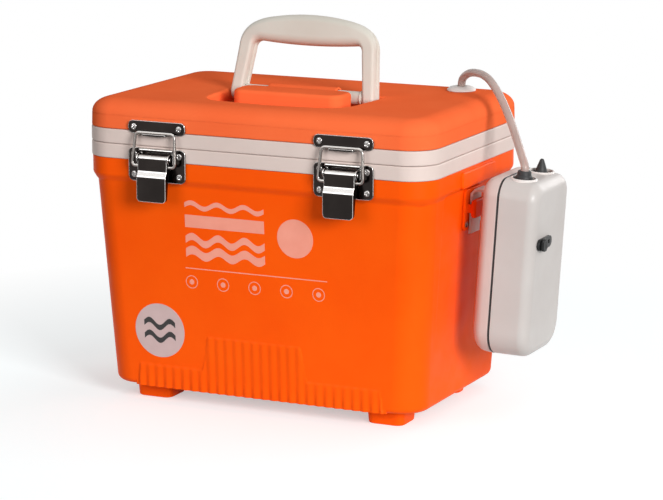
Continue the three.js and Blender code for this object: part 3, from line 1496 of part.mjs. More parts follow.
addTub(assembly);
addLatch(assembly, 'left', -1);
addLatch(assembly, 'right', 1);
addHinge(assembly, 'left', -1);
addHinge(assembly, 'right', 1);
addLid(assembly);
addPump(assembly);
addAirLine(assembly);

const bounds = new THREE.Box3().setFromObject(assembly);
const middle = bounds.getCenter(new THREE.Vector3());
assembly.position.set(-middle.x, -middle.y, -bounds.min.z);

export default assembly;
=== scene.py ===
# Live bait well: looks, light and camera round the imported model. Tables are in millimetres, measured
# from the middle of the tub; pieces are moved to the model's origin and to metres when they are made.
import bpy
import bmesh
import json
import math
from mathutils import Matrix, Vector

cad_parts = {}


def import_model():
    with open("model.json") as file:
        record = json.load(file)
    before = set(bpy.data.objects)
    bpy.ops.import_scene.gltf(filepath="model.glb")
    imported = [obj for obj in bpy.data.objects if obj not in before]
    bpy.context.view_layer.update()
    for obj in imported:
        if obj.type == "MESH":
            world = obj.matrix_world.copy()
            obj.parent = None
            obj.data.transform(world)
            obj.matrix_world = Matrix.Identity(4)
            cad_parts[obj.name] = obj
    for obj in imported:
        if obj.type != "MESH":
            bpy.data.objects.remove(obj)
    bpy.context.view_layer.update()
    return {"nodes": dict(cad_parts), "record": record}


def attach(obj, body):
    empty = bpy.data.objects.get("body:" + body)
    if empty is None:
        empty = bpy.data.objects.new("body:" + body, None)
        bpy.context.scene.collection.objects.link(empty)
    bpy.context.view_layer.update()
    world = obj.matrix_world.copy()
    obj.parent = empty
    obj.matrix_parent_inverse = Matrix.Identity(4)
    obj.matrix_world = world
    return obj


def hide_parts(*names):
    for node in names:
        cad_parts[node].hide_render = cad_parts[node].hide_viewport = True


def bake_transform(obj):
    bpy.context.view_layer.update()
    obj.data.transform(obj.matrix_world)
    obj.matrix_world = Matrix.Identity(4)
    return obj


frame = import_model()
NODES = frame["nodes"]

MM = 0.001
# The tub's middle as seen from the model's origin.
SHIFT = Vector((-33.5727, 2.225, 0.0))
PARTS = bpy.data.collections.new("pieces")
STOCK = bpy.data.collections.new("stock")
for group in (PARTS, STOCK):
    bpy.context.scene.collection.children.link(group)


# Camera, fitted to the photograph

YAW, PITCH = math.radians(25.25), math.radians(11.66)
camera_data = bpy.data.cameras.new("camera")
camera_data.lens = 151.1
camera_data.sensor_width = 36
camera_data.clip_start, camera_data.clip_end = 0.05, 20
camera = bpy.data.objects.new("camera", camera_data)
camera.location = (Vector((994.3, -2055.8, 592.6)) + SHIFT) * MM
camera.rotation_euler = (math.pi / 2 - PITCH, 0, YAW)
bpy.context.scene.collection.objects.link(camera)
bpy.context.scene.camera = camera


# Materials

def srgb(r, g, b):
    def linear(v):
        v = v / 255
        return v / 12.92 if v <= 0.04045 else ((v + 0.055) / 1.055) ** 2.4
    return (linear(r), linear(g), linear(b), 1.0)


class Shader:
    def __init__(self, name):
        self.material = bpy.data.materials.new(name)
        self.material.use_nodes = True
        self.tree = self.material.node_tree
        self.tree.nodes.clear()
        self.out = self.add("ShaderNodeOutputMaterial")
        self.main = self.add("ShaderNodeBsdfPrincipled")
        self.link(self.main.outputs[0], self.out.inputs["Surface"])
        self.place = self.add("ShaderNodeTexCoord").outputs["Object"]

    def add(self, kind, **values):
        node = self.tree.nodes.new(kind)
        for key, value in values.items():
            setattr(node, key, value)
        return node

    def link(self, a, b):
        self.tree.links.new(a, b)

    def noise(self, scale, detail=3.0, rough=0.55, stretch=None):
        node = self.add("ShaderNodeTexNoise")
        node.inputs["Scale"].default_value = scale
        node.inputs["Detail"].default_value = detail
        node.inputs["Roughness"].default_value = rough
        source = self.place
        if stretch:
            mapping = self.add("ShaderNodeMapping")
            mapping.inputs["Scale"].default_value = stretch
            self.link(self.place, mapping.inputs["Vector"])
            source = mapping.outputs["Vector"]
        self.link(source, node.inputs["Vector"])
        return node.outputs["Fac"]

    def ramp(self, value, low, high, a, b):
        node = self.add("ShaderNodeValToRGB")
        e = node.color_ramp.elements
        e[0].position, e[1].position = low, high
        e[0].color, e[1].color = a, b
        self.link(value, node.inputs["Fac"])
        return node.outputs["Color"]

    def spread(self, value, low, high, to_low, to_high):
        node = self.add("ShaderNodeMapRange")
        for key, number in (("From Min", low), ("From Max", high), ("To Min", to_low), ("To Max", to_high)):
            node.inputs[key].default_value = number
        self.link(value, node.inputs["Value"])
        return node.outputs["Result"]

    def bump(self, height, strength, distance, normal=None):
        node = self.add("ShaderNodeBump")
        node.inputs["Strength"].default_value = strength
        node.inputs["Distance"].default_value = distance
        self.link(height, node.inputs["Height"])
        if normal is not None:
            self.link(normal, node.inputs["Normal"])
        return node.outputs["Normal"]

    def edge(self, radius):
        node = self.add("ShaderNodeBevel", samples=8)
        node.inputs["Radius"].default_value = radius
        return node.outputs["Normal"]

    def edge_highlight_mask(self, radius):
        """1 on the flats and 0 where an edge turns away; metal() paints its edge highlight where this is 0.
        """
        turned_away, flat = 0.8, 0.985
        dot = self.add("ShaderNodeVectorMath", operation="DOT_PRODUCT")
        self.link(self.edge(radius), dot.inputs[0])
        self.link(self.add("ShaderNodeNewGeometry").outputs["Normal"], dot.inputs[1])
        return self.spread(dot.outputs["Value"], turned_away, flat, 0.0, 1.0)

    def blend(self, share, a, b):
        node = self.add("ShaderNodeMix", data_type="RGBA")
        self.link(share, node.inputs["Factor"])
        for socket, value in ((node.inputs[6], a), (node.inputs[7], b)):
            if isinstance(value, tuple):
                socket.default_value = value
            else:
                self.link(value, socket)
        return node.outputs[2]


def plastic(name, colour, dark, rough=0.36, grain=900.0, grain_depth=0.00004, edge=0.0006, coat=0.0,
            wave=14.0, specular=0.5, broad=0.0004):
    s = Shader(name)
    tone = s.ramp(s.noise(wave, 4.0), 0.36, 0.66, srgb(*dark), srgb(*colour))
    s.link(tone, s.main.inputs["Base Color"])
    s.link(s.spread(s.noise(60.0, 5.0), 0.3, 0.7, rough - 0.05, rough + 0.07), s.main.inputs["Roughness"])
    normal = s.edge(edge) if edge else None
    fine = s.bump(s.noise(grain, 2.0), 0.35, grain_depth, normal)
    s.link(s.bump(s.noise(24.0, 2.0), 0.25, broad, fine), s.main.inputs["Normal"])
    s.main.inputs["Coat Weight"].default_value = coat
    s.main.inputs["Coat Roughness"].default_value = 0.22
    s.main.inputs["Specular IOR Level"].default_value = specular
    return s.material


def metal(name, dark, bright, rough=0.16, edge=0.0005, smudge=0.08, sky=(0.2, 0.62)):
    """Polished plate: its dark colour on upright faces, with a painted highlight where an edge rolls over and
    a painted sky reflection where a face looks up.
    """
    s = Shader(name)
    s.main.inputs["Metallic"].default_value = 1.0
    face = s.ramp(s.noise(38.0, 4.0), 0.3, 0.7, srgb(*[c * 0.8 for c in dark]), srgb(*dark))
    axis = s.add("ShaderNodeSeparateXYZ")
    s.link(s.add("ShaderNodeNewGeometry").outputs["Normal"], axis.inputs[0])
    # Painted sky reflection: a face that looks up gets the bright colour.
    painted_sky_reflection = s.spread(axis.outputs["Z"], sky[0], sky[1], 1.0, 0.0)
    painted_highlight_mask = s.add("ShaderNodeMath", operation="MINIMUM")
    s.link(painted_sky_reflection, painted_highlight_mask.inputs[0])
    s.link(s.edge_highlight_mask(edge), painted_highlight_mask.inputs[1])
    # The bright colour is painted light: a highlight on rolled edges and a sky reflection on faces that look
    # up.
    s.link(s.blend(painted_highlight_mask.outputs[0], srgb(*bright), face), s.main.inputs["Base Color"])
    s.link(s.spread(s.noise(45.0, 6.0, 0.6), 0.35, 0.7, rough, rough + smudge), s.main.inputs["Roughness"])
    brushed = s.bump(s.noise(220.0, 3.0, 0.5, (1.0, 1.0, 60.0)), 0.1, 0.00003, s.edge(edge))
    s.link(brushed, s.main.inputs["Normal"])
    return s.material


def soft(name, colour, dark, rough=0.7, grain=1500.0, edge=0.0004):
    s = Shader(name)
    tone = s.ramp(s.noise(70.0, 5.0), 0.3, 0.7, srgb(*dark), srgb(*colour))
    s.link(tone, s.main.inputs["Base Color"])
    s.link(s.spread(s.noise(120.0, 3.0), 0.3, 0.7, rough - 0.1, rough + 0.08), s.main.inputs["Roughness"])
    s.link(s.bump(s.noise(grain, 2.0), 0.4, 0.00006, s.edge(edge)), s.main.inputs["Normal"])
    s.main.inputs["Sheen Weight"].default_value = 0.05
    return s.material


def hose_material():
    s = Shader("hose_vinyl")
    tone = s.ramp(s.noise(40.0, 3.0), 0.35, 0.65, srgb(190, 168, 160), srgb(206, 186, 178))
    s.link(tone, s.main.inputs["Base Color"])
    s.main.inputs["Roughness"].default_value = 0.22
    s.main.inputs["Transmission Weight"].default_value = 0.35
    s.main.inputs["IOR"].default_value = 1.4
    s.link(s.bump(s.noise(300.0, 2.0), 0.2, 0.0001), s.main.inputs["Normal"])
    return s.material


LOOK = {
    "body": plastic("body_plastic", (255, 92, 8), (252, 86, 6), 0.42, specular=0.06, edge=0.0009),
    # The lid's orange is paler than the tub's: partly its own colour and partly a painted sheen, in place of
    # the gloss that its zero specular leaves out.
    "lid": plastic("lid_plastic", (255, 116, 66), (252, 110, 61), 0.5, specular=0.0, edge=0.0014),
    "trim": plastic("trim_plastic", (223, 205, 197), (217, 198, 190), 0.5, specular=0.25, edge=0.0005),
    "liner": plastic("liner_plastic", (232, 228, 222), (222, 218, 211), 0.36),
    "foam": soft("foam", (238, 229, 200), (224, 213, 182), 0.9, 700.0),
    "seal": soft("seal_rubber", (110, 107, 103), (92, 90, 87), 0.8),
    "handle": plastic("handle_plastic", (212, 208, 198), (206, 200, 189), 0.5, specular=0.2, edge=0.0006),
    "pump": plastic("pump_plastic", (198, 192, 188), (192, 185, 181), 0.34, grain=1400.0, specular=0.3),
    # The back case's pink tint is a painted warm bounce from the orange tub; its plastic is the same as the
    # front case's.
    "pump_back": plastic("pump_back_bounce_plastic", (208, 190, 184), (202, 182, 176), 0.34, grain=1400.0,
                         specular=0.3),
    "rim": plastic("pump_rim_plastic", (226, 220, 216), (218, 211, 206), 0.34, grain=1400.0,
                   specular=0.35),
    "black": plastic("black_plastic", (27, 27, 28), (17, 17, 18), 0.42, grain=1600.0, specular=0.35),
    "rubber": soft("black_rubber", (30, 30, 31), (20, 20, 21), 0.6),
    "white": plastic("white_plastic", (226, 220, 216), (217, 211, 206), 0.45, specular=0.35),
    # The second colour of each metal is its painted highlight and painted sky reflection.
    "steel": metal("latch_steel", (52, 47, 45), (232, 228, 225), 0.15, edge=0.0011, sky=(0.12, 0.4)),
    "screw": metal("screw_steel", (128, 124, 122), (240, 238, 236), 0.16, edge=0.0006),
    "wire": metal("bail_steel", (132, 126, 122), (240, 236, 232), 0.14, edge=0.0001, sky=(0.2, 0.75)),
    "brass": metal("contact_brass", (190, 152, 84), (232, 206, 140), 0.26),
    "cell": plastic("cell_jacket", (70, 75, 82), (56, 60, 66), 0.3, coat=0.4),
    "stone": soft("air_stone", (146, 156, 162), (110, 120, 128), 0.95, 420.0),
    "ink": soft("print_ink", (244, 158, 136), (240, 150, 128), 0.5, 900.0, edge=0.0001),
    "disc": soft("round_label", (204, 178, 176), (196, 170, 168), 0.45, 900.0, edge=0.0002),
    "dark": soft("dark_ink", (34, 30, 30), (26, 23, 23), 0.45, 900.0, edge=0.0001),
    "hose": hose_material(),
}
BODY_OF = {n: b for b, ns in frame["record"]["behaviour"]["bodies"].items() for n in ns}
SLOT_OF = {s["node"]: s["material_slot"] for s in frame["record"]["subparts"]}
# The photo shows nothing pale where the bracket's plate is, so it has the tub's orange.
SLOT_OF["pump_bracket"] = "body_plastic"
LOOK_OF_SLOT = {
    "body_plastic": "body", "lid_plastic": "lid", "foam": "foam", "liner_plastic": "liner",
    "trim_plastic": "trim", "seal_rubber": "seal", "steel": "steel", "handle_plastic": "handle",
    "pump_plastic": "pump", "black_rubber": "rubber", "black_plastic": "black", "white_plastic": "white",
    "cell_jacket": "cell", "brass": "brass", "stone": "stone", "hose_vinyl": "hose",
}
BUILT = set()


# Making pieces

def place(point):
    return (Vector(point) + SHIFT) * MM


def put(name, bm, body, look, nodes=(), smooth=38.0, at=None, fit=True):
    """bm holds millimetres about the tub's middle, or about the frame that at gives."""
    move = Matrix.Scale(MM, 4) @ Matrix.Translation(SHIFT)
    bmesh.ops.transform(bm, matrix=move @ at if at else move, verts=bm.verts)
    bmesh.ops.recalc_face_normals(bm, faces=bm.faces)
    mesh = bpy.data.meshes.new(name)
    bm.to_mesh(mesh)
    bm.free()
    mesh.shade_smooth()
    mesh.set_sharp_from_angle(angle=math.radians(smooth))
    piece = bpy.data.objects.new(name, mesh)
    PARTS.objects.link(piece)
    mesh.materials.append(LOOK[look])
    if fit:
        even = piece.modifiers.new("even", "WEIGHTED_NORMAL")
        even.keep_sharp = True
        even.weight = 60
    if isinstance(body, str):
        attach(piece, body)
    else:
        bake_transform(piece)
    if nodes:
        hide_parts(*nodes)
        BUILT.update(nodes)
    return piece


def dress(node, bm, at=None, look=None, smooth=38.0):
    """A finer form of one CAD node, in its body and slot."""
    slot = SLOT_OF[node]
    return put("fine_" + node, bm, BODY_OF[node], look or LOOK_OF_SLOT[slot], [node], smooth, at)


def refined(node, look, bevel, segments=2, angle=32.0):
    """A CAD node's own solid with its flat faces merged and its edges rounded."""
    bm = bmesh.new()
    bm.from_mesh(NODES[node].data)
    bmesh.ops.remove_doubles(bm, verts=bm.verts, dist=0.00001)
    bmesh.ops.dissolve_limit(bm, angle_limit=math.radians(1.0), verts=bm.verts, edges=bm.edges)
    sharp = [e for e in bm.edges if len(e.link_faces) == 2 and e.calc_face_angle(0) > math.radians(angle)]
    bmesh.ops.bevel(bm, geom=sharp, offset=bevel * MM, segments=segments, profile=0.6, affect="EDGES",
                    clamp_overlap=True, miter_outer="ARC")
    back = (Matrix.Scale(MM, 4) @ Matrix.Translation(SHIFT)).inverted()
    bmesh.ops.transform(bm, matrix=back, verts=bm.verts)
    return dress(node, bm, look=look, smooth=42.0)


def blank(bm):
    mesh = bpy.data.meshes.new("blank")
    bmesh.ops.recalc_face_normals(bm, faces=bm.faces)
    bm.to_mesh(mesh)
    bm.free()
    made = bpy.data.objects.new("blank", mesh)
    STOCK.objects.link(made)
    return made


def worked(base, *steps):
    """The base solid with each (operation, solid) done to it in turn."""
    held = [blank(base)]
    for operation, tool in steps:
        held.append(blank(tool))
        step = held[0].modifiers.new("step", "BOOLEAN")
        step.operation = operation
        step.object = held[-1]
        step.solver = "MANIFOLD"
    graph = bpy.context.evaluated_depsgraph_get()
    mesh = bpy.data.meshes.new_from_object(held[0].evaluated_get(graph))
    out = bmesh.new()
    out.from_mesh(mesh)
    bpy.data.meshes.remove(mesh)
    for item in held:
        data = item.data
        bpy.data.objects.remove(item)
        bpy.data.meshes.remove(data)
    bmesh.ops.remove_doubles(out, verts=out.verts, dist=0.0005)
    return out


def together(*solids):
    out = bmesh.new()
    for bm in solids:
        mesh = bpy.data.meshes.new("part")
        bm.to_mesh(mesh)
        bm.free()
        out.from_mesh(mesh)
        bpy.data.meshes.remove(mesh)
    return out


def moved(bm, x=0.0, y=0.0, z=0.0, turn=None):
    bmesh.ops.transform(bm, matrix=Matrix.Translation((x, y, z)) @ (turn or Matrix()), verts=bm.verts)
    return bm


def quarter(steps=8):
    """Quarter turn as (inward share, upward share) steps."""
    angles = [k / steps * math.pi / 2 for k in range(steps + 1)]
    return [(1 - math.sin(a), 1 - math.cos(a)) for a in angles]


def ring(x, y, r, z, r_low=None, steps=12):
    """A rounded rectangle at height z, with its own radius r_low at the two corners at low Y."""
    out = []
    r_low = r if r_low is None else r_low
    corners = ((1, 1, r), (-1, 1, r), (-1, -1, r_low), (1, -1, r_low))
    for corner, (sx, sy, radius) in enumerate(corners):
        for k in range(steps + 1):
            a = (corner + k / steps) * math.pi / 2
            across = sx * (x - radius) + radius * math.cos(a)
            along = sy * (y - radius) + radius * math.sin(a)
            out.append(Vector((across, along, z)))
    return out


def loft(rings, loop=False):
    bm = bmesh.new()
    rows = [[bm.verts.new(p) for p in points] for points in rings]
    pairs = list(zip(rows, rows[1:])) + ([(rows[-1], rows[0])] if loop else [])
    for low, high in pairs:
        for k in range(len(low)):
            n = (k + 1) % len(low)
            bm.faces.new((low[k], low[n], high[n], high[k]))
    if not loop:
        bm.faces.new(rows[0][::-1])
        bm.faces.new(rows[-1])
    return bm


LAY = {
    "front": lambda a, b, t: (a, -t, b),
    "side": lambda a, b, t: (t, a, b),
    "top": lambda a, b, t: (a, b, t),
}


def prism(points, lay, start, thick, bevel=0.0, segments=3, both=True):
    bm = loft([[Vector(LAY[lay](a, b, t)) for a, b in points] for t in (start, start + thick)])
    if bevel:
        ends = [f for f in bm.faces if len(f.verts) == len(points)]
        ends = ends if both else ends[-1:]
        edges = list({e for f in ends for e in f.edges})
        bmesh.ops.bevel(bm, geom=edges, offset=bevel, segments=segments, profile=0.5, affect="EDGES",
                        clamp_overlap=True)
    return bm


def arc(cx, cy, r, start, end, steps=10):
    angles = [start + (end - start) * k / steps for k in range(steps + 1)]
    return [(cx + r * math.cos(a), cy + r * math.sin(a)) for a in angles]


def quad(a, b, c, steps=10):
    out = []
    for k in range(1, steps + 1):
        t = k / steps
        out.append(tuple((1 - t) ** 2 * a[i] + 2 * t * (1 - t) * b[i] + t * t * c[i] for i in (0, 1)))
    return out


def rounded(half, low, high, r, steps=8):
    turn = math.pi / 2
    middles = ((half - r, low + r), (half - r, high - r), (r - half, high - r), (r - half, low + r))
    out = []
    for k, (x, y) in enumerate(middles):
        out += arc(x, y, r, (k - 1) * turn, k * turn, steps)
    return out


def block(left, right, low, high):
    return [(left, low), (right, low), (right, high), (left, high)]


def disc(x, y, r, sides=40):
    return arc(x, y, r, 0, 2 * math.pi * (sides - 1) / sides, sides - 1)


def turned(profile, sides=48):
    """A lathe round Z through (radius, height) points, open at the axis or closed on itself."""
    bm = bmesh.new()
    closed = profile[0] == profile[-1]
    rows = []
    for r, z in profile[:-1] if closed else profile:
        if r < 1e-6:
            rows.append([bm.verts.new((0, 0, z))])
        else:
            turn = [2 * math.pi * k / sides for k in range(sides)]
            rows.append([bm.verts.new((r * math.cos(a), r * math.sin(a), z)) for a in turn])
    pairs = list(zip(rows, rows[1:])) + ([(rows[-1], rows[0])] if closed else [])
    for low, high in pairs:
        for k in range(sides):
            n = (k + 1) % sides
            if len(low) == 1:
                bm.faces.new((low[0], high[n], high[k]))
            elif len(high) == 1:
                bm.faces.new((low[k], low[n], high[0]))
            else:
                bm.faces.new((low[k], low[n], high[n], high[k]))
    bmesh.ops.recalc_face_normals(bm, faces=bm.faces)
    return bm


def rod(r, start, end, sides=32):
    return turned([(0, start), (r, start), (r, end), (0, end)], sides)


ALONG_X = Matrix.Rotation(math.pi / 2, 4, "Y")
TO_FRONT = Matrix.Rotation(math.pi / 2, 4, "X")


def sheet(points, thick):
    """The edge view of a bent sheet: a polyline with a thickness."""
    path = [Vector(p) for p in points]
    sides = ([], [])
    for i, p in enumerate(path):
        into = (p - path[i - 1]).normalized() if i else (path[1] - p).normalized()
        away = (path[i + 1] - p).normalized() if i < len(path) - 1 else into
        mid = (into + away).normalized()
        normal = Vector((-mid.y, mid.x))
        reach = thick / 2 / max(normal.dot(Vector((-away.y, away.x))), 0.4)
        sides[0].append(tuple(p + normal * reach))
        sides[1].insert(0, tuple(p - normal * reach))
    return sides[0] + sides[1]


def eased(points, radius, steps=6):
    """A polyline with its inner corners rounded."""
    path = [Vector(p) for p in points]
    out = [path[0]]
    for a, b, c in zip(path, path[1:], path[2:]):
        r = min(radius, (b - a).length / 2.2, (c - b).length / 2.2)
        start = b + (a - b).normalized() * r
        end = b + (c - b).normalized() * r
        for k in range(steps + 1):
            t = k / steps
            out.append(start * (1 - t) ** 2 + b * 2 * t * (1 - t) + end * t * t)
    return out + [path[-1]]


def sweep(path, radius, sides=24):
    """A round bar along a path."""
    normal = None
    rings = []
    for i, p in enumerate(path):
        ahead = (path[min(i + 1, len(path) - 1)] - path[max(i - 1, 0)]).normalized()
        if normal is None:
            normal = ahead.orthogonal().normalized()
        normal = (normal - ahead * normal.dot(ahead)).normalized()
        across = ahead.cross(normal)
        turn = [2 * math.pi * k / sides for k in range(sides)]
        rings.append([p + (normal * math.cos(a) + across * math.sin(a)) * radius for a in turn])
    return loft(rings)


# Hoses

HOSE_RADIUS = 3.3
FREE_ROUTE = [
    (112, 69, 254.3), (112, 69, 259.6), (113.5, 67.6, 264), (119, 62.6, 268.6), (126.6, 55.6, 271.6),
    (134.8, 48.6, 272.6), (143.3, 40.5, 272.4), (151.9, 32.4, 269.9), (160, 24.7, 265),
    (168, 17.2, 258.4), (176, 9.6, 249.8), (184.5, 1.6, 238.6), (192.3, -6.2, 227), (198.9, -13.2, 217.2),
]
# The point of the free hose's route given as the start of its turn from the lid to the tub; the hose is not
# bent.
TURN_FROM = 6
WELL_ROUTE = [
    (112, 69, 254), (112, 69, 230), (112, 69, 206), (111.8, 68.4, 190), (110.4, 65.4, 170),
    (107.6, 60, 148), (104.2, 53.4, 128), (101.4, 48, 112), (100.1, 45.3, 102), (100, 45, 96.6),
]
# hd, hw and hh are half the case's depth, width and height. The other lengths are the seam's place, the
# floor of the two pockets, their x, the y of the hose's and of the cone's, their radius, and the case's
# thickness.
PUMP = {
    "at": (193.475, 0, 128.3), "lean": math.radians(3.7), "hd": 24.1, "hw": 38.9, "hh": 73.0,
    "seam": -8.5, "floor": 65.0, "x": 4.5, "hose": -18.0, "cone": 20.0, "pocket": 9.4, "skin": 2.2,
}
PUMP_FRAME = Matrix.Translation(PUMP["at"]) @ Matrix.Rotation(PUMP["lean"], 4, "Y")


def between(a, b, start, end, s):
    return a * ((end - s) / (end - start)) + b * ((s - start) / (end - start))


def smooth_path(points, per_span=6):
    """Centripetal curve through the points."""
    p = [Vector(q) for q in points]
    p = [p[0] * 2 - p[1]] + p + [p[-1] * 2 - p[-2]]
    out = []
    for i in range(1, len(p) - 2):
        a, b, c, d = p[i - 1], p[i], p[i + 1], p[i + 2]
        t = [0.0]
        for u, v in ((a, b), (b, c), (c, d)):
            t.append(t[-1] + max((v - u).length, 1e-6) ** 0.5)
        steps = per_span if i < len(p) - 3 else per_span + 1
        for k in range(steps):
            s = t[1] + (t[2] - t[1]) * k / per_span
            a1 = between(a, b, t[0], t[1], s)
            a2 = between(b, c, t[1], t[2], s)
            a3 = between(c, d, t[2], t[3], s)
            b1 = between(a1, a2, t[0], t[2], s)
            b2 = between(a2, a3, t[1], t[3], s)
            out.append(between(b1, b2, t[1], t[2], s))
    return out


def tube(node, route, bend=None):
    """bend names the two bodies that a hose crosses, and the points where it starts and ends to turn; put
    only bakes the piece where it stands, so these do not bend it.
    """
    path = smooth_path(route)
    body = (bend[0], bend[1], place(bend[2]), place(bend[3])) if bend else BODY_OF[node]
    piece = put("fine_" + node, sweep(path, HOSE_RADIUS), body, "hose", [node])


stub_top = PUMP["floor"] + 10.7
hose_end = [PUMP_FRAME @ Vector((PUMP["x"], PUMP["hose"], stub_top + z)) for z in (HOSE_RADIUS * 2, 0)]
free_route = [Vector(p) for p in FREE_ROUTE] + hose_end
tube("air_hose", free_route, ("lid", "tub", FREE_ROUTE[TURN_FROM], hose_end[0]))
tube("air_hose_in_well", [Vector(p) for p in WELL_ROUTE])


# Tub

HX, HY, TOP = 155.575, 101.6, 254.0
TRIM_LOW, TRIM_HIGH, PARTING = 206.2, 230.3, 218.25
TUB_RIM, LID_RIM, STEP_Z, UNDERSIDE = 215.3, 221.2, 188.5, 15.0
TUB_LOW = 13.4
WALL, GAP = 3.0, 0.3
# Insets are measured in from the outside of the trim bands.
STEP_INSET, COLLAR_INSET, RIM_INSET, SKIN_INSET = 3.9, 0.7, 2.6, 5.6
TUB_CORNER, TRIM_CORNER, LEAST_CORNER = 24, 26, 0.3
DRAFT = math.radians(3.4)
WELL_X, WELL_Y, WELL_LOW, WELL_CORNER, WELL_DRAFT = HX - 26.6, HY - 22.6, 40.0, 20, (11.5, 10.7)


def tub_inset(z):
    return STEP_INSET + max(STEP_Z - z, 0) * math.tan(DRAFT)


def tub_ring(z, extra=0.0):
    inset = tub_inset(z) + extra
    return ring(HX - inset, HY - inset, max(TUB_CORNER - extra, LEAST_CORNER), z)


def collar(inset, z):
    return ring(HX - inset, HY - inset, max(TRIM_CORNER - inset, LEAST_CORNER), z)


def collars(*steps):
    return [collar(inset, z) for inset, z in steps]


def front_at(z, out=0.0):
    return -(HY - tub_inset(z)) - out


def ease(t):
    t = min(max(t, 0.0), 1.0)
    return t * t * (3 - 2 * t)


def rib_field():
    """A low raised field with soft upright ribs, deepest where they end square above the floor."""
    pitch, first, half, low, rise, count = 8.15, -2.6, 114, TUB_LOW, 1.09, 48
    low_crest, hump, hump_half, hump_x = 33.5, 29, 48.5, -3
    field, shallow, deeper, sunk, back = 0.45, 0.65, 0.7, 0.02, -5
    rows = []
    for step in range(count):
        z = low + step * rise
        row = []
        for x in range(-half, half + 1):
            crest = low_crest + hump * ease((hump_half - abs(x - hump_x)) / 7)
            crest = crest * ease((half - 1 - abs(x)) / 4)
            share = ease((crest - z) / 2.4)
            swing = (0.5 + 0.5 * math.cos(2 * math.pi * (x - first) / pitch)) ** 0.8
            deep = shallow + deeper * ease((27 - z) / 11)
            row.append(Vector((x, front_at(z, share * (field + deep * swing) - sunk), z)))
        rows.append(row + [Vector((side * half, front_at(z, back), z)) for side in (1, -1)])
    return loft(rows)


def foot(sx, sy):
    """One foot; the two in front reach further out."""
    half_x, half_y, corner, inset = 17, 10, 6, 49.6
    longer = 6.0 if sy < 0 else 0.0
    sole = [(2.4, 0.0), (1.7, 0.3), (1.3, 1.0), (0.0, 19.0)]
    rows = [ring(half_x - cut, half_y + longer - cut, corner, z) for cut, z in sole]
    return moved(loft(rows), sx * (HX - inset), sy * (HY - inset + longer))


def panel(side):
    """The tool for a side panel, which starts flush at its low end and is deepest at the step."""
    low, half, corner, deep, reach = 77.0, 60, 8, 1.5, 9
    wall = [HX - tub_inset(z) for z in (low, STEP_Z)]
    run = (STEP_Z - low, wall[1] - deep - wall[0])
    outline = arc(half - corner, corner, corner, -math.pi / 2, 0, 8) + [(half, run[0]), (-half, run[0])]
    outline += arc(corner - half, corner, corner, math.pi, math.pi * 1.5, 8)
    rows = [[Vector((side * (wall[0] + run[1] * b / run[0] + out), a, low + b)) for a, b in outline]
            for out in (0, reach)]
    return loft(rows)


def ledge(side):
    half, low, high, corner = 35, 190.5, 204, 3.4
    face = ((-COLLAR_INSET - WALL, 0), (0.6, 0), (1.3, 0.25), (1.75, 0.7), (2.0, 1.4))
    rows = []
    for out, cut in face:
        outline = rounded(half - cut, low + cut, high - cut, corner - cut)
        rows.append([Vector((side * (HX + out), a, b)) for a, b in outline])
    return loft(rows)


def tub():
    edge, inner_edge, under_trim = 5, 6, TRIM_LOW - GAP
    step = ((3.4, -1.2), (2.6, 0.2), (1.8, 1.4), (1.1, 2.6), (0.75, 3.8), (COLLAR_INSET, 4.6))
    outside = [tub_ring(TUB_LOW + edge * up, edge * inward) for inward, up in quarter(8)]
    outside += [tub_ring(STEP_Z - 3)] + collars(*[(inset, STEP_Z + up) for inset, up in step])
    outside += collars((COLLAR_INSET, under_trim), (RIM_INSET, under_trim), (RIM_INSET, TUB_RIM))
    inside = [tub_ring(UNDERSIDE + WALL + inner_edge * up, WALL + inner_edge * inward)
              for inward, up in quarter(6)]
    inside += [tub_ring(STEP_Z, WALL)] + collars((SKIN_INSET, STEP_Z + 4.4), (SKIN_INSET, TUB_RIM + 4))
    feet = together(*[foot(sx, sy) for sx in (1, -1) for sy in (1, -1)])
    return worked(
        loft(outside), ("UNION", rib_field()), ("UNION", feet),
        ("UNION", together(ledge(1), ledge(-1))), ("DIFFERENCE", together(panel(1), panel(-1))),
        ("DIFFERENCE", loft(inside)),
    )


def well_ring(z, out=0.0, cut=0.0):
    share = 1 - (z - WELL_LOW) / (TUB_RIM - WELL_LOW)
    x, y = WELL_X - WELL_DRAFT[0] * share, WELL_Y - WELL_DRAFT[1] * share
    return ring(x + out - cut, y + out - cut, max(WELL_CORNER + out - cut, LEAST_CORNER), z)


def well_round(out, low):
    """The well's rounded low edge, out from its inside."""
    r = 8 + out
    return [well_ring(low + r * up, out, r * inward) for inward, up in quarter(6)]


def liner():
    thick, flange, edge = 2.5, TUB_RIM - 2.8, 5.9
    rows = well_round(thick, WELL_LOW - thick) + [well_ring(flange, thick)]
    rows += collars((edge, flange), (edge, TUB_RIM - 0.4), (6.2, TUB_RIM))
    rows += [well_ring(TUB_RIM - down, out) for out, down in ((1.2, 0), (0.2, 0.5), (0, 1.4))]
    return loft(rows + well_round(0, WELL_LOW)[::-1])


def band(skirt_end, outer, inner):
    """A trim band from its skirt's end to its outer flat face, with its inner face behind that."""
    up = 1 if outer > skirt_end else -1
    skirt = 2.3
    first = ((1.0, 0), (0.35, 0.15), (0.08, 0.5), (0, 1.1))
    last = ((0, 1.3), (0.15, 0.6), (0.5, 0.15), (0.9, 0))
    rows = collars(*[(inset, skirt_end + up * on) for inset, on in first])
    rows += collars(*[(inset, outer - up * on) for inset, on in last])
    rim = (WELL_X + GAP, WELL_Y + GAP, WELL_CORNER + GAP)
    rows += [ring(*rim, outer), ring(*rim, inner)] + collars((skirt, inner), (skirt, skirt_end))
    return loft(rows, True)


dress("outer_shell", tub(), smooth=34)
dress("inner_liner", liner())
for node, end, up in (("lower_trim_band", TRIM_LOW, -1), ("upper_trim_band", TRIM_HIGH, 1)):
    dress(node, band(end, PARTING + up * 0.15, PARTING + up * 2.65))


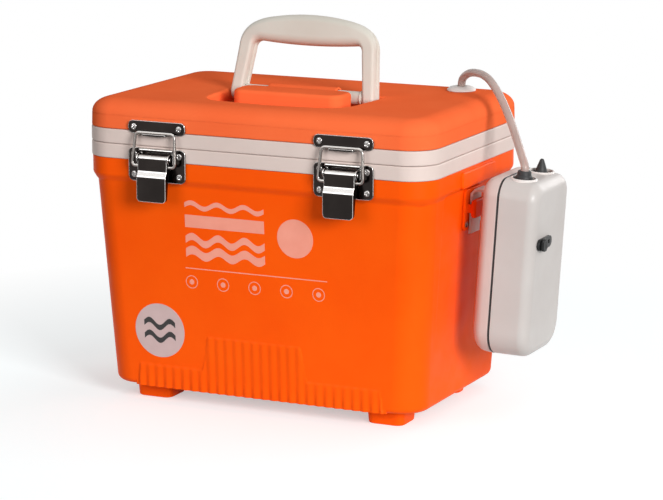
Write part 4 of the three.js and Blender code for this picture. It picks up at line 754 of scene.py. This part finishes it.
# Plain printing on the front: round labels, bars and waves without any wording

def print_on_front(name, outline, look, out=0.07):
    rows = [[Vector((x, front_at(z, t), z)) for x, z in outline] for t in (-0.15, out)]
    put(name, loft(rows), "tub", look, fit=False)


def wave(x0, x1, z, half, swell, turns, steps=48):
    xs = [x0 + (x1 - x0) * k / steps for k in range(steps + 1)]
    mid = [z + swell * math.sin((x - x0) / (x1 - x0) * turns * 2 * math.pi) for x in xs]
    return [(x, m - half) for x, m in zip(xs, mid)] + [(x, m + half) for x, m in zip(xs[::-1], mid[::-1])]


def printing():
    print_on_front("label_round", disc(-89.5, 62.5, 23, 64), "disc", 0.1)
    for name, z in (("upper", 68), ("lower", 57)):
        print_on_front("label_mark_" + name, wave(-104, -75, z, 2.3, 3.0, 1.5), "dark", 0.16)
    print_on_front("print_disc", disc(37.5, 151.5, 16, 56), "ink")
    print_on_front("print_bar", block(-62, 10, 153, 163.5), "ink")
    for i, (z, half, swell) in enumerate(((171.5, 2.0, 2.2), (142.5, 3.0, 3.0), (131.5, 3.6, 2.6))):
        print_on_front(f"print_wave_{i + 1}", wave(-62, 10, z, half, swell, 3), "ink")
    print_on_front("print_line", block(-63, 65, 118.1, 118.9), "ink")
    first, pitch, z, sides = -57.7, 28.7, 107, 40
    for i in range(5):
        x = first + i * pitch
        outer, inner = disc(x, z, 5.6, sides), disc(x, z, 4.9, sides)
        bm = bmesh.new()
        for t in (-0.15, 0.07):
            rows = [[bm.verts.new((a, front_at(b, t), b)) for a, b in points] for points in (outer, inner)]
            for k in range(sides):
                n = (k + 1) % sides
                bm.faces.new((rows[0][k], rows[0][n], rows[1][n], rows[1][k]))
        put(f"print_ring_{i + 1}", bm, "tub", "ink", fit=False)
        print_on_front(f"print_dot_{i + 1}", disc(x, z, 2.2, 28), "ink")


printing()


# Lid

REACH, CROWN, LEG_OUT, SHOULDER_OUT, BEND = 66.0, 3.4, 65.5, 62.0, 26.0
LEG_IN, HANDLE_Z, HANDLE_LEAN = 55.1, 253, math.radians(-14)
PORT = (HX - 43.6, HY - 32.6)


def handle_outline(grow=0.0, tail=7.5):
    top, edge = REACH + grow, REACH + grow - CROWN
    outer, shoulder, bend = LEG_OUT + grow, SHOULDER_OUT + grow, BEND + grow
    points = [(outer, -tail), (outer, 0), (shoulder, edge - bend)]
    points += quad(points[-1], (shoulder, edge), (shoulder - bend, edge), 14)
    points += quad(points[-1], (0, top + CROWN), (bend - shoulder, edge), 20)
    points += quad(points[-1], (-shoulder, edge), (-shoulder, edge - bend), 14)
    return points + [(-outer, 0), (-outer, -tail)]


def recess_tool(grow=0.0, rim=2.6):
    """The bay round the handle's legs and grip, its rim rolled outwards."""
    floor, turns = 243.0, (0.3, 0.6, 0.9, 1.15, 1.35, 1.5)
    levels = [(0, floor - grow), (0, TOP - rim)]
    levels += [(rim * (1 - math.cos(a)), TOP - rim * (1 - math.sin(a))) for a in turns]
    levels += [(rim, TOP + 8)]
    return loft([[Vector((x, -y, z)) for x, y in handle_outline(3 + grow + out, 10.5 + grow + out)]
                 for out, z in levels])


def island(out=0.0, top=259.6, low=241.0, round_off=3.2):
    """The raised middle of the bay."""
    half_x, half_y, corner, y = 49.5, 15.5, 10, -23
    rows = [ring(half_x + out, half_y + out, corner, z) for z in (low, top - round_off)]
    for inward, up in quarter(6)[::-1][1:]:
        cut = round_off * inward - out
        rows.append(ring(half_x - cut, half_y - cut, corner - min(cut, 5.5), top - round_off * up))
    return moved(loft(rows), 0, y)


def hook(x):
    """A hook that holds the handle's bar, open to the back."""
    outer, bore, low, half, over, mouth_half = 5.8, 3.7, 241, 4.2, 4.5, 2.6
    stem = prism(block(-outer, outer, low, HANDLE_Z), "side", x - half, half * 2)
    ear = prism(disc(0, HANDLE_Z, outer, 36), "side", x - half, half * 2)
    hole = prism(disc(0, HANDLE_Z, bore, 36), "side", x - over, over * 2)
    mouth = prism(block(0, 12, HANDLE_Z - mouth_half, HANDLE_Z + mouth_half), "side", x - over, over * 2)
    return worked(stem, ("UNION", ear), ("DIFFERENCE", hole), ("DIFFERENCE", mouth))


def lid():
    over_trim = TRIM_HIGH + GAP
    outside = collars((RIM_INSET, LID_RIM), (RIM_INSET, over_trim), (0.9, over_trim), (0.45, 230.8),
                      (0.3, 231.4), (0.55, 241.2), (0.85, 241.5), (0.6, 241.8))
    outside += [collar(0.6 + 18 * inward, TOP - 12 * up) for inward, up in quarter(12)[::-1]]
    inside = [collar(SKIN_INSET, LID_RIM - 4)]
    inside += [collar(3.6 + 15 * inward, TOP - WALL - 9 * up) for inward, up in quarter(8)[::-1]]
    hollow = worked(loft(inside), ("DIFFERENCE", recess_tool(WALL)))
    low, outer, inner, half, end = 249, 7.7, 5.95, 31, math.radians(12)
    cover = [(-9, low), (-9, 257.6)] + arc(0, HANDLE_Z, outer, math.radians(118), end, 14)
    cover += arc(0, HANDLE_Z, inner, end, math.pi, 18) + [(-inner, low)]
    cover = prism(cover, "side", -half, half * 2, 0.5, 3)
    hooks = together(hook(26.0), hook(-26.0))
    hole = moved(rod(5.9, 200, 260, 40), *PORT)
    under = island(-WALL, 256.6, 236.0, 2.4)
    return worked(
        loft(outside), ("DIFFERENCE", recess_tool()), ("UNION", island()), ("DIFFERENCE", hollow),
        ("DIFFERENCE", under), ("DIFFERENCE", hole), ("UNION", hooks),
        ("UNION", cover),
    )


dress("lid_shell", lid(), smooth=30)


# Handle

def handle_pairs():
    """Matching points of the outer and the inner outline, with the share of the way into the grip."""
    def straight(a, b, count):
        return [(a[0] + (b[0] - a[0]) * k / count, a[1] + (b[1] - a[1]) * k / count) for k in range(count)]

    outer_mid, outer_end = (62.0, 36.6), (36.0, 62.6)
    inner_mid, inner_end = (50.6, 35.0), (42.6, 42.6)
    outer = straight((LEG_OUT, 0), outer_mid, 10) + [outer_mid] + quad(outer_mid, (62, 57.9), outer_end, 16)
    inner = straight((LEG_IN, 0), inner_mid, 10) + [inner_mid] + quad(inner_mid, (50.6, 43.3), inner_end, 16)
    share = [0.0] * 10 + [ease(k / 17) for k in range(17)]
    outer += quad(outer_end, (0, 69.4), (-36, 62.6), 32)[:16]
    inner += quad(inner_end, (0, 38.9), (-42.6, 42.6), 32)[:16]
    share += [1.0] * 16
    half = list(zip(outer, inner, share))
    return half + [((-a[0], a[1]), (-b[0], b[1]), s) for a, b, s in half[-2::-1]]


def handle_section(outer, inner, deep, radius, groove):
    """A rounded section from the inner to the outer point, with a groove down both narrow faces."""
    start, end = Vector(inner), Vector(outer)
    long = (end - start).length
    r = min(radius, deep / 2 * 0.9, long / 2 * 0.95)
    flat, g = deep / 2 - r, min(2.3, (deep / 2 - r) * 0.6)
    lip = min(0.7, (flat - g) * 0.8)
    face = [(0.0, -flat), (0.0, -g - lip), (groove, -g), (groove, g), (0.0, g + lip), (0.0, flat)]
    turn = [k / 6 * math.pi / 2 for k in range(1, 6)]
    side = [(long - c, q) for c, q in face]
    side += [(long - r + r * math.cos(a), flat + r * math.sin(a)) for a in turn]
    side += [(long - r, deep / 2), (r, deep / 2)]
    side += [(r - r * math.sin(a), flat + r * math.cos(a)) for a in turn]
    side += [(c, q) for c, q in face[::-1]]
    side += [(r - r * math.cos(a), -flat - r * math.sin(a)) for a in turn]
    side += [(r, -deep / 2), (long - r, -deep / 2)]
    side += [(long - r + r * math.sin(a), -flat - r * math.cos(a)) for a in turn]
    along = (end - start) / long
    return [Vector((start.x + along.x * s, q, start.y + along.y * s)) for s, q in side]


def handle():
    thick, corner = 15, 2.6
    rows = []
    for outer, inner, share in handle_pairs():
        groove = 1.3 * ease(outer[1] / 12) * (1 - share)
        rows.append(handle_section(outer, inner, thick + 3.5 * share, corner + 4.4 * share, groove))
    for side in (1, -1):
        foot_rows = []
        for step in range(1, 11):
            a = step / 10 * math.radians(80)
            z, deep = -7.5 * math.sin(a), thick * math.cos(a)
            foot_rows.append(handle_section((side * LEG_OUT, z), (side * LEG_IN, z), deep, corner, 0.0))
        rows = foot_rows[::-1] + rows if side > 0 else rows + foot_rows
    bar = [(0, 57), (5.5, 57), (5.5, 53.4), (6.1, 53.1), (6.1, 51.8), (5.5, 51.5), (5.5, 31), (3.4, 31),
           (3.4, 21), (5.5, 21)]
    bar = [(r, -x) for r, x in bar] + bar[::-1]
    return worked(loft(rows), ("UNION", moved(turned(bar, 40), turn=ALONG_X)))


HANDLE_FRAME = Matrix.Translation((0, 0, HANDLE_Z)) @ Matrix.Rotation(HANDLE_LEAN, 4, "X")
dress("handle", handle(), HANDLE_FRAME, smooth=40)


# Latches

PLATE_BACK, PLATE_FRONT, SHEET = HY + 0.3, HY + 1.5, 1.2
PIVOT_Y, PIVOT_Z = -(HY + 6.2), 209.3
BAIL_Y, BAIL_Z = PIVOT_Y - 0.9, PIVOT_Z - 6
LATCH_X, SCREW_X, PIN_RADIUS, PIN_HOLE = HX - 72.1, 20.6, 1.5, 1.8


def screw_head(low=-0.6):
    dome = [(0, low), (2.7, low), (2.7, 0.45), (2.5, 0.85), (2.0, 1.15), (1.2, 1.3), (0, 1.35)]
    cross = [moved(prism(rounded(1.75, -0.36, 0.36, 0.2, 2), "top", 0.45, 2), turn=Matrix.Rotation(a, 4, "Z"))
             for a in (math.radians(20), math.radians(110))]
    return worked(turned(dome, 36), ("DIFFERENCE", cross[0]), ("DIFFERENCE", cross[1]))


def latch_plate(low, high):
    return prism(rounded(26, low, high, 4), "front", PLATE_BACK, SHEET, 0.35, 3, False)


def latch_base():
    """The lower plate, rolled at its top, with the two ears that hold the lever's pin."""
    roll_r, roll_half, ear_r, ear_x = 1.6, 15.4, 3.9, 13.5
    roll = moved(rod(roll_r, -roll_half, roll_half), 0, -(PLATE_BACK + roll_r), 215.4, ALONG_X)
    back = -(PLATE_BACK + SHEET / 2)
    shape = [(back, PIVOT_Z - 4)] + arc(PIVOT_Y, PIVOT_Z, ear_r, 1.5 * math.pi, 0.5 * math.pi, 16)
    shape += [(back, PIVOT_Z + ear_r)]
    ears = [prism(shape, "side", x, SHEET, 0.25, 2) for x in (ear_x, -ear_x - SHEET)]
    hole = moved(rod(PIN_HOLE, -20, 20), 0, PIVOT_Y, PIVOT_Z, ALONG_X)
    return worked(latch_plate(189.5, 217), ("UNION", roll), ("UNION", together(*ears)), ("DIFFERENCE", hole))


def strike_plate():
    """The upper plate with the curled hook that the bail catches."""
    plate = latch_plate(228.7, 239.3)
    floor, lip = 227.9, -(PLATE_FRONT + 4.5)
    path = [(-PLATE_FRONT + 0.6, 229.9), (-PLATE_FRONT - 0.5, floor), (lip, floor), (lip, floor + 1.4)]
    return worked(plate, ("UNION", prism(sheet(eased(path, 0.8), 1.0), "side", -10.5, 21)))


def latch_lever():
    py, pz, half, thin = PIVOT_Y, PIVOT_Z, 13.2, 1.1
    low, step, jog, face = 174.5, 196.8, 192.8, py - 5.2
    web = eased([(py - 2.45, pz), (py - 2.9, step + 2.4), (face, step - 2.0), (face, low)], 0.7)
    plate = prism(sheet(web, thin), "side", -half, half * 2)
    back = face + 4.4
    shape = [(py - 2.7, step + 3.2), (face, step - 2.2), (face, low), (back - 2.2, low), (back, jog - 4)]
    shape += [(py + 2.2, step + 4)] + arc(py, pz, 3.0, 0, math.pi, 14)
    flanges = [prism(shape, "side", x, thin) for x in (half - thin, -half)]
    roll = moved(rod(3.0, -half + 0.5, half - 0.5), 0, py, pz, ALONG_X)
    limit = prism(rounded(half, low, pz + 6, 3.4), "front", 90, 32)
    tools = [moved(rod(r, -20, 20), 0, y, z, ALONG_X)
             for r, y, z in ((PIN_HOLE, py, pz), (1.6, BAIL_Y, BAIL_Z))]
    return worked(
        plate, ("UNION", flanges[0]), ("UNION", flanges[1]), ("UNION", roll),
        ("INTERSECT", limit), ("DIFFERENCE", tools[0]), ("DIFFERENCE", tools[1]),
    )


def latch_bail():
    top_y, top_z = -(PLATE_FRONT + 2.4), 230.0
    side = [(11.8, BAIL_Y, BAIL_Z), (19.6, BAIL_Y, BAIL_Z), (17.8, top_y, top_z)]
    points = [(-a, b, c) for a, b, c in side] + side[::-1]
    return sweep(eased(points, 4.0, 10), 1.3, 20)


def latches():
    for name, side in (("left", -1), ("right", 1)):
        at = Matrix.Translation((side * LATCH_X, 0, 0))
        dress("latch_base_" + name, latch_base(), at)
        heads = [moved(screw_head(), x, -PLATE_FRONT, z, TO_FRONT @ Matrix.Rotation(x + z, 4, "Z"))
                 for x in (SCREW_X, -SCREW_X) for z in (194.9, 211.6)]
        put("latch_screws_" + name, together(*heads), "tub", "screw", at=at)
        dress("latch_pin_" + name, moved(rod(PIN_RADIUS, -15.3, 15.3), 0, PIVOT_Y, PIVOT_Z, ALONG_X), at)
        dress("strike_plate_" + name, strike_plate(), at)
        for end, x in (("outer", side * SCREW_X), ("inner", -side * SCREW_X)):
            head = moved(screw_head(-1.0), x, -PLATE_FRONT, 234, TO_FRONT @ Matrix.Rotation(x, 4, "Z"))
            dress(f"strike_screw_{name}_{end}", head, at, "screw")
        dress("latch_lever_" + name, latch_lever(), at)
        dress("latch_bail_" + name, latch_bail(), at, "wire")


latches()


# Pump

def case_ring(x, extra=0.0):
    lean = 1.2 * abs(x - PUMP["seam"]) / (PUMP["hd"] - PUMP["seam"])
    top, bottom = [max(corner - extra, LEAST_CORNER) for corner in (15, 22)]
    flat = ring(PUMP["hw"] - extra - lean, PUMP["hh"] - extra - lean, top, x, bottom, 10)
    return [Vector((p.z, p.x, p.y)) for p in flat]


def case_half(seam, end, extra=0.0, lip=0.5):
    sign = 1 if end > seam else -1
    radius = max(9 - extra, LEAST_CORNER)
    rows = [case_ring(seam, extra + (lip if not extra else 0))]
    if not extra:
        rows += [case_ring(seam + sign * 0.2, 0.15), case_ring(seam + sign * 0.7)]
    rows += [case_ring(end - sign * (extra + radius * up), extra + radius * inward)
             for inward, up in quarter(10)[::-1]]
    return loft(rows)


def pump():
    front_seam, back_seam, floor, skin = -7.7, -9.3, PUMP["floor"], PUMP["skin"]
    pockets = [(PUMP["x"], PUMP["hose"]), (PUMP["x"], PUMP["cone"])]
    wells = [moved(rod(PUMP["pocket"], floor, 90, 48), x, y) for x, y in pockets]
    grown = [moved(rod(PUMP["pocket"] + skin, floor - skin, 90, 48), x, y) for x, y in pockets]
    pins = [moved(rod(2.9, 44, floor + 4, 24), x, y) for x, y in pockets]
    hollow = worked(case_half(-11.7, PUMP["hd"], skin), ("DIFFERENCE", together(*grown)))
    slot = prism(block(-26, -8, 21.2, 24.8), "side", 15, 20)
    front = worked(
        case_half(front_seam, PUMP["hd"]), ("DIFFERENCE", together(*wells)), ("DIFFERENCE", hollow),
        ("DIFFERENCE", together(*pins)), ("DIFFERENCE", slot),
    )
    dress("pump_front_case", front, PUMP_FRAME, smooth=34)
    for i, (x, y) in enumerate(pockets):
        r, z = PUMP["pocket"], PUMP["hh"] - 0.4
        rim = [(-0.1, -1.5), (-0.1, 0.5), (0.3, 0.9), (1.1, 0.8), (1.7, 0.2), (1.8, -1.5), (-0.1, -1.5)]
        rim = turned([(r + out, z + up) for out, up in rim])
        put(f"pocket_rim_{i + 1}", moved(rim, x, y), "tub", "rim", at=PUMP_FRAME)
    back = worked(case_half(back_seam, -PUMP["hd"]), ("DIFFERENCE", case_half(-5.3, -PUMP["hd"], skin)))
    # The back case's look has a painted warm bounce in its colour.
    dress("pump_back_case", back, PUMP_FRAME, "pump_back", 34)
    seal = ((-9.0, 0.35), (-8.9, 0.05), (-8.5, -0.15), (-8.1, 0.05), (-8.0, 0.35), (-8.0, skin), (-9.0, skin))
    dress("pump_case_seal", loft([case_ring(x, inset) for x, inset in seal], True), PUMP_FRAME)


def pump_top():
    base, x, low = PUMP["floor"] + GAP, PUMP["x"], 53.3
    boot = [(2.4, 0), (8.2, 0), (8.2, 4.0), (7.8, 4.9), (7.0, 5.4), (6.9, 8.6), (6.4, 9.8), (5.7, 10.4),
            (5.5, 13.2), (5.0, 13.9), (4.2, 14.1), (3.5, 13.9), (3.5, 10.1), (2.4, 6.4), (2.4, 0)]
    boot = [(r, base + z) for r, z in boot]
    dress("hose_boot", moved(turned(boot), x, PUMP["hose"]), PUMP_FRAME)
    top = base + 6.4
    barb = [(2.1, 0.3), (3.5, 0.3), (3.84, 0.7), (3.84, 1.6), (3.4, 2.1), (2.1, 3.5), (0, 3.7)]
    stub = [(0, low), (2.1, low)] + [(r, top + z) for r, z in barb]
    dress("hose_stub", moved(turned(stub, 32), x, PUMP["hose"]), PUMP_FRAME)
    waist = base + 2.2
    point = [(8.2, -0.5), (7.8, 0), (6.4, 0), (6.4, 1.6), (5.9, 2.3), (5.6, 3.6), (4.6, 6.5), (3.0, 11),
             (1.6, 14.8), (1.1, 15.3), (0.5, 15.5), (0, 15.5)]
    cone = [(0, low), (2.1, low), (2.1, base), (8.2, base)] + [(r, waist + z) for r, z in point]
    dress("air_cone", moved(turned(cone), x, PUMP["cone"]), PUMP_FRAME)


def switch():
    face, z, y = PUMP["hd"] + GAP, 23.0, -17.0
    travel_half, stem_half = 9, 2.2
    outline = [(a + y, b) for a, b in rounded(14, z - 4.6, z + 4.6, 4.3, 10)]
    plate = prism(outline, "side", face, 2, 0.7, 4)
    opening = prism(block(y - travel_half, y + travel_half, z - 1.8, z + 1.8), "side", face - 2, 6)
    dress("switch_plate", worked(plate, ("DIFFERENCE", opening)), PUMP_FRAME)
    middle = y - travel_half + stem_half + GAP
    outline = [(a + middle, b) for a, b in rounded(4.4, z - 5, z + 5, 2.2, 8)]
    cap = prism(outline, "side", face + 2.3, 2.8, 1.2, 5)
    ribs = [prism(block(middle + a - 0.3, middle + a + 0.3, z - 3, z + 3), "side", face + 4.6, 2)
            for a in (-1.6, 0, 1.6)]
    stem = block(middle - stem_half, middle + stem_half, z - 1.5, z + 1.5)
    stem = prism(stem, "side", PUMP["hd"] - PUMP["skin"], 5.6)
    dress("switch_knob", worked(cap, ("DIFFERENCE", together(*ribs)), ("UNION", stem)), PUMP_FRAME)


pump()
pump_top()
switch()


# Grommet

def grommet():
    low, base, bore, neck = TOP - 5, TOP + GAP, 3.7, 5.6
    flange = [(neck, 0), (12, 0), (12, 0.9), (11.4, 1.7), (9.6, 3.0), (7.6, 3.6), (5.6, 3.8), (4.7, 3.8),
              (4.1, 3.3), (bore, 1.6)]
    profile = [(bore, low), (neck, low)] + [(r, base + z) for r, z in flange] + [(bore, low)]
    return moved(turned(profile, 56), *PORT)


dress("lid_grommet", grommet())


# The nodes that keep the CAD's own form, with rounded edges

BEVEL, SMALL_BEVEL = 0.4, 0.2
for node in sorted(NODES):
    if node not in BUILT:
        small = "screw" in node or "contact" in node
        look = "screw" if "screw" in node else LOOK_OF_SLOT[SLOT_OF[node]]
        refined(node, look, SMALL_BEVEL if small else BEVEL)


# Floor and light

FLOOR_GLOW, WORLD_LIGHT = 0.48, 0.23
# Metres from the middle: the floor takes light up to the first and only glows beyond the second.
NEAR, FAR = 0.28, 0.6


def seen_rays(tree):
    """1 for rays from the camera, in mirrors and through clear pieces, and 0 for the others."""
    path = tree.nodes.new("ShaderNodeLightPath")
    result = path.outputs["Is Camera Ray"]
    for kind in ("Is Glossy Ray", "Is Transmission Ray"):
        most = tree.nodes.new("ShaderNodeMath")
        most.operation = "MAXIMUM"
        tree.links.new(result, most.inputs[0])
        tree.links.new(path.outputs[kind], most.inputs[1])
        result = most.outputs[0]
    return result


def floor():
    bm = bmesh.new()
    half = 6.0
    corners = [bm.verts.new((x * half, y * half, 0)) for x, y in ((-1, -1), (1, -1), (1, 1), (-1, 1))]
    bm.faces.new(corners)
    mesh = bpy.data.meshes.new("floor")
    bm.to_mesh(mesh)
    bm.free()
    piece = bpy.data.objects.new("floor", mesh)
    bpy.context.scene.collection.objects.link(piece)
    s = Shader("floor_paper")
    away = s.add("ShaderNodeVectorMath", operation="LENGTH")
    s.link(s.place, away.inputs[0])
    tone = s.ramp(s.noise(3.0, 2.0), 0.3, 0.7, (0.65, 0.72, 0.73, 1), (0.67, 0.74, 0.75, 1))
    beyond = s.spread(away.outputs["Value"], NEAR, FAR, 0.0, 1.0)
    s.link(s.blend(beyond, tone, (0, 0, 0, 1)), s.main.inputs["Base Color"])
    s.main.inputs["Roughness"].default_value = 0.6
    s.main.inputs["Specular IOR Level"].default_value = 0.0
    glow = s.add("ShaderNodeMath", operation="MULTIPLY")
    s.link(seen_rays(s.tree), glow.inputs[0])
    s.link(s.spread(away.outputs["Value"], NEAR, FAR, FLOOR_GLOW, 1.0), glow.inputs[1])
    s.main.inputs["Emission Color"].default_value = (1, 1, 1, 1)
    s.link(glow.outputs[0], s.main.inputs["Emission Strength"])
    mesh.materials.append(s.material)


def world():
    made = bpy.data.worlds.new("studio")
    bpy.context.scene.world = made
    made.use_nodes = True
    tree = made.node_tree
    tree.nodes.clear()
    out = tree.nodes.new("ShaderNodeOutputWorld")
    back = tree.nodes.new("ShaderNodeBackground")
    mix = tree.nodes.new("ShaderNodeMapRange")
    back.inputs["Color"].default_value = (1, 1, 1, 1)
    tree.links.new(seen_rays(tree), mix.inputs["Value"])
    mix.inputs["To Min"].default_value = WORLD_LIGHT
    mix.inputs["To Max"].default_value = 1.0
    tree.links.new(mix.outputs["Result"], back.inputs["Strength"])
    tree.links.new(back.outputs[0], out.inputs["Surface"])


def lamp(name, at, aim, size, power):
    data = bpy.data.lights.new(name, "AREA")
    data.size = size
    data.energy = power
    lamp_object = bpy.data.objects.new(name, data)
    lamp_object.location = at
    lamp_object.rotation_euler = (Vector(aim) - Vector(at)).to_track_quat("-Z", "Y").to_euler()
    bpy.context.scene.collection.objects.link(lamp_object)


floor()
world()
lamp("key", (2.1, -1.55, 1.0), (0, 0, 0.14), 1.0, 71)
lamp("fill", (-0.9, -2.2, 0.9), (0, 0, 0.16), 1.2, 13)
lamp("back", (1.0, 2.2, 1.0), (0, 0, 0.16), 1.4, 20)
lamp("top", (0.1, 0.5, 2.0), (0, 0, 0.2), 1.4, 4)

bpy.context.scene.collection.children.unlink(STOCK)
bpy.data.collections.remove(STOCK)

bpy.context.scene.view_settings.view_transform = "Standard"
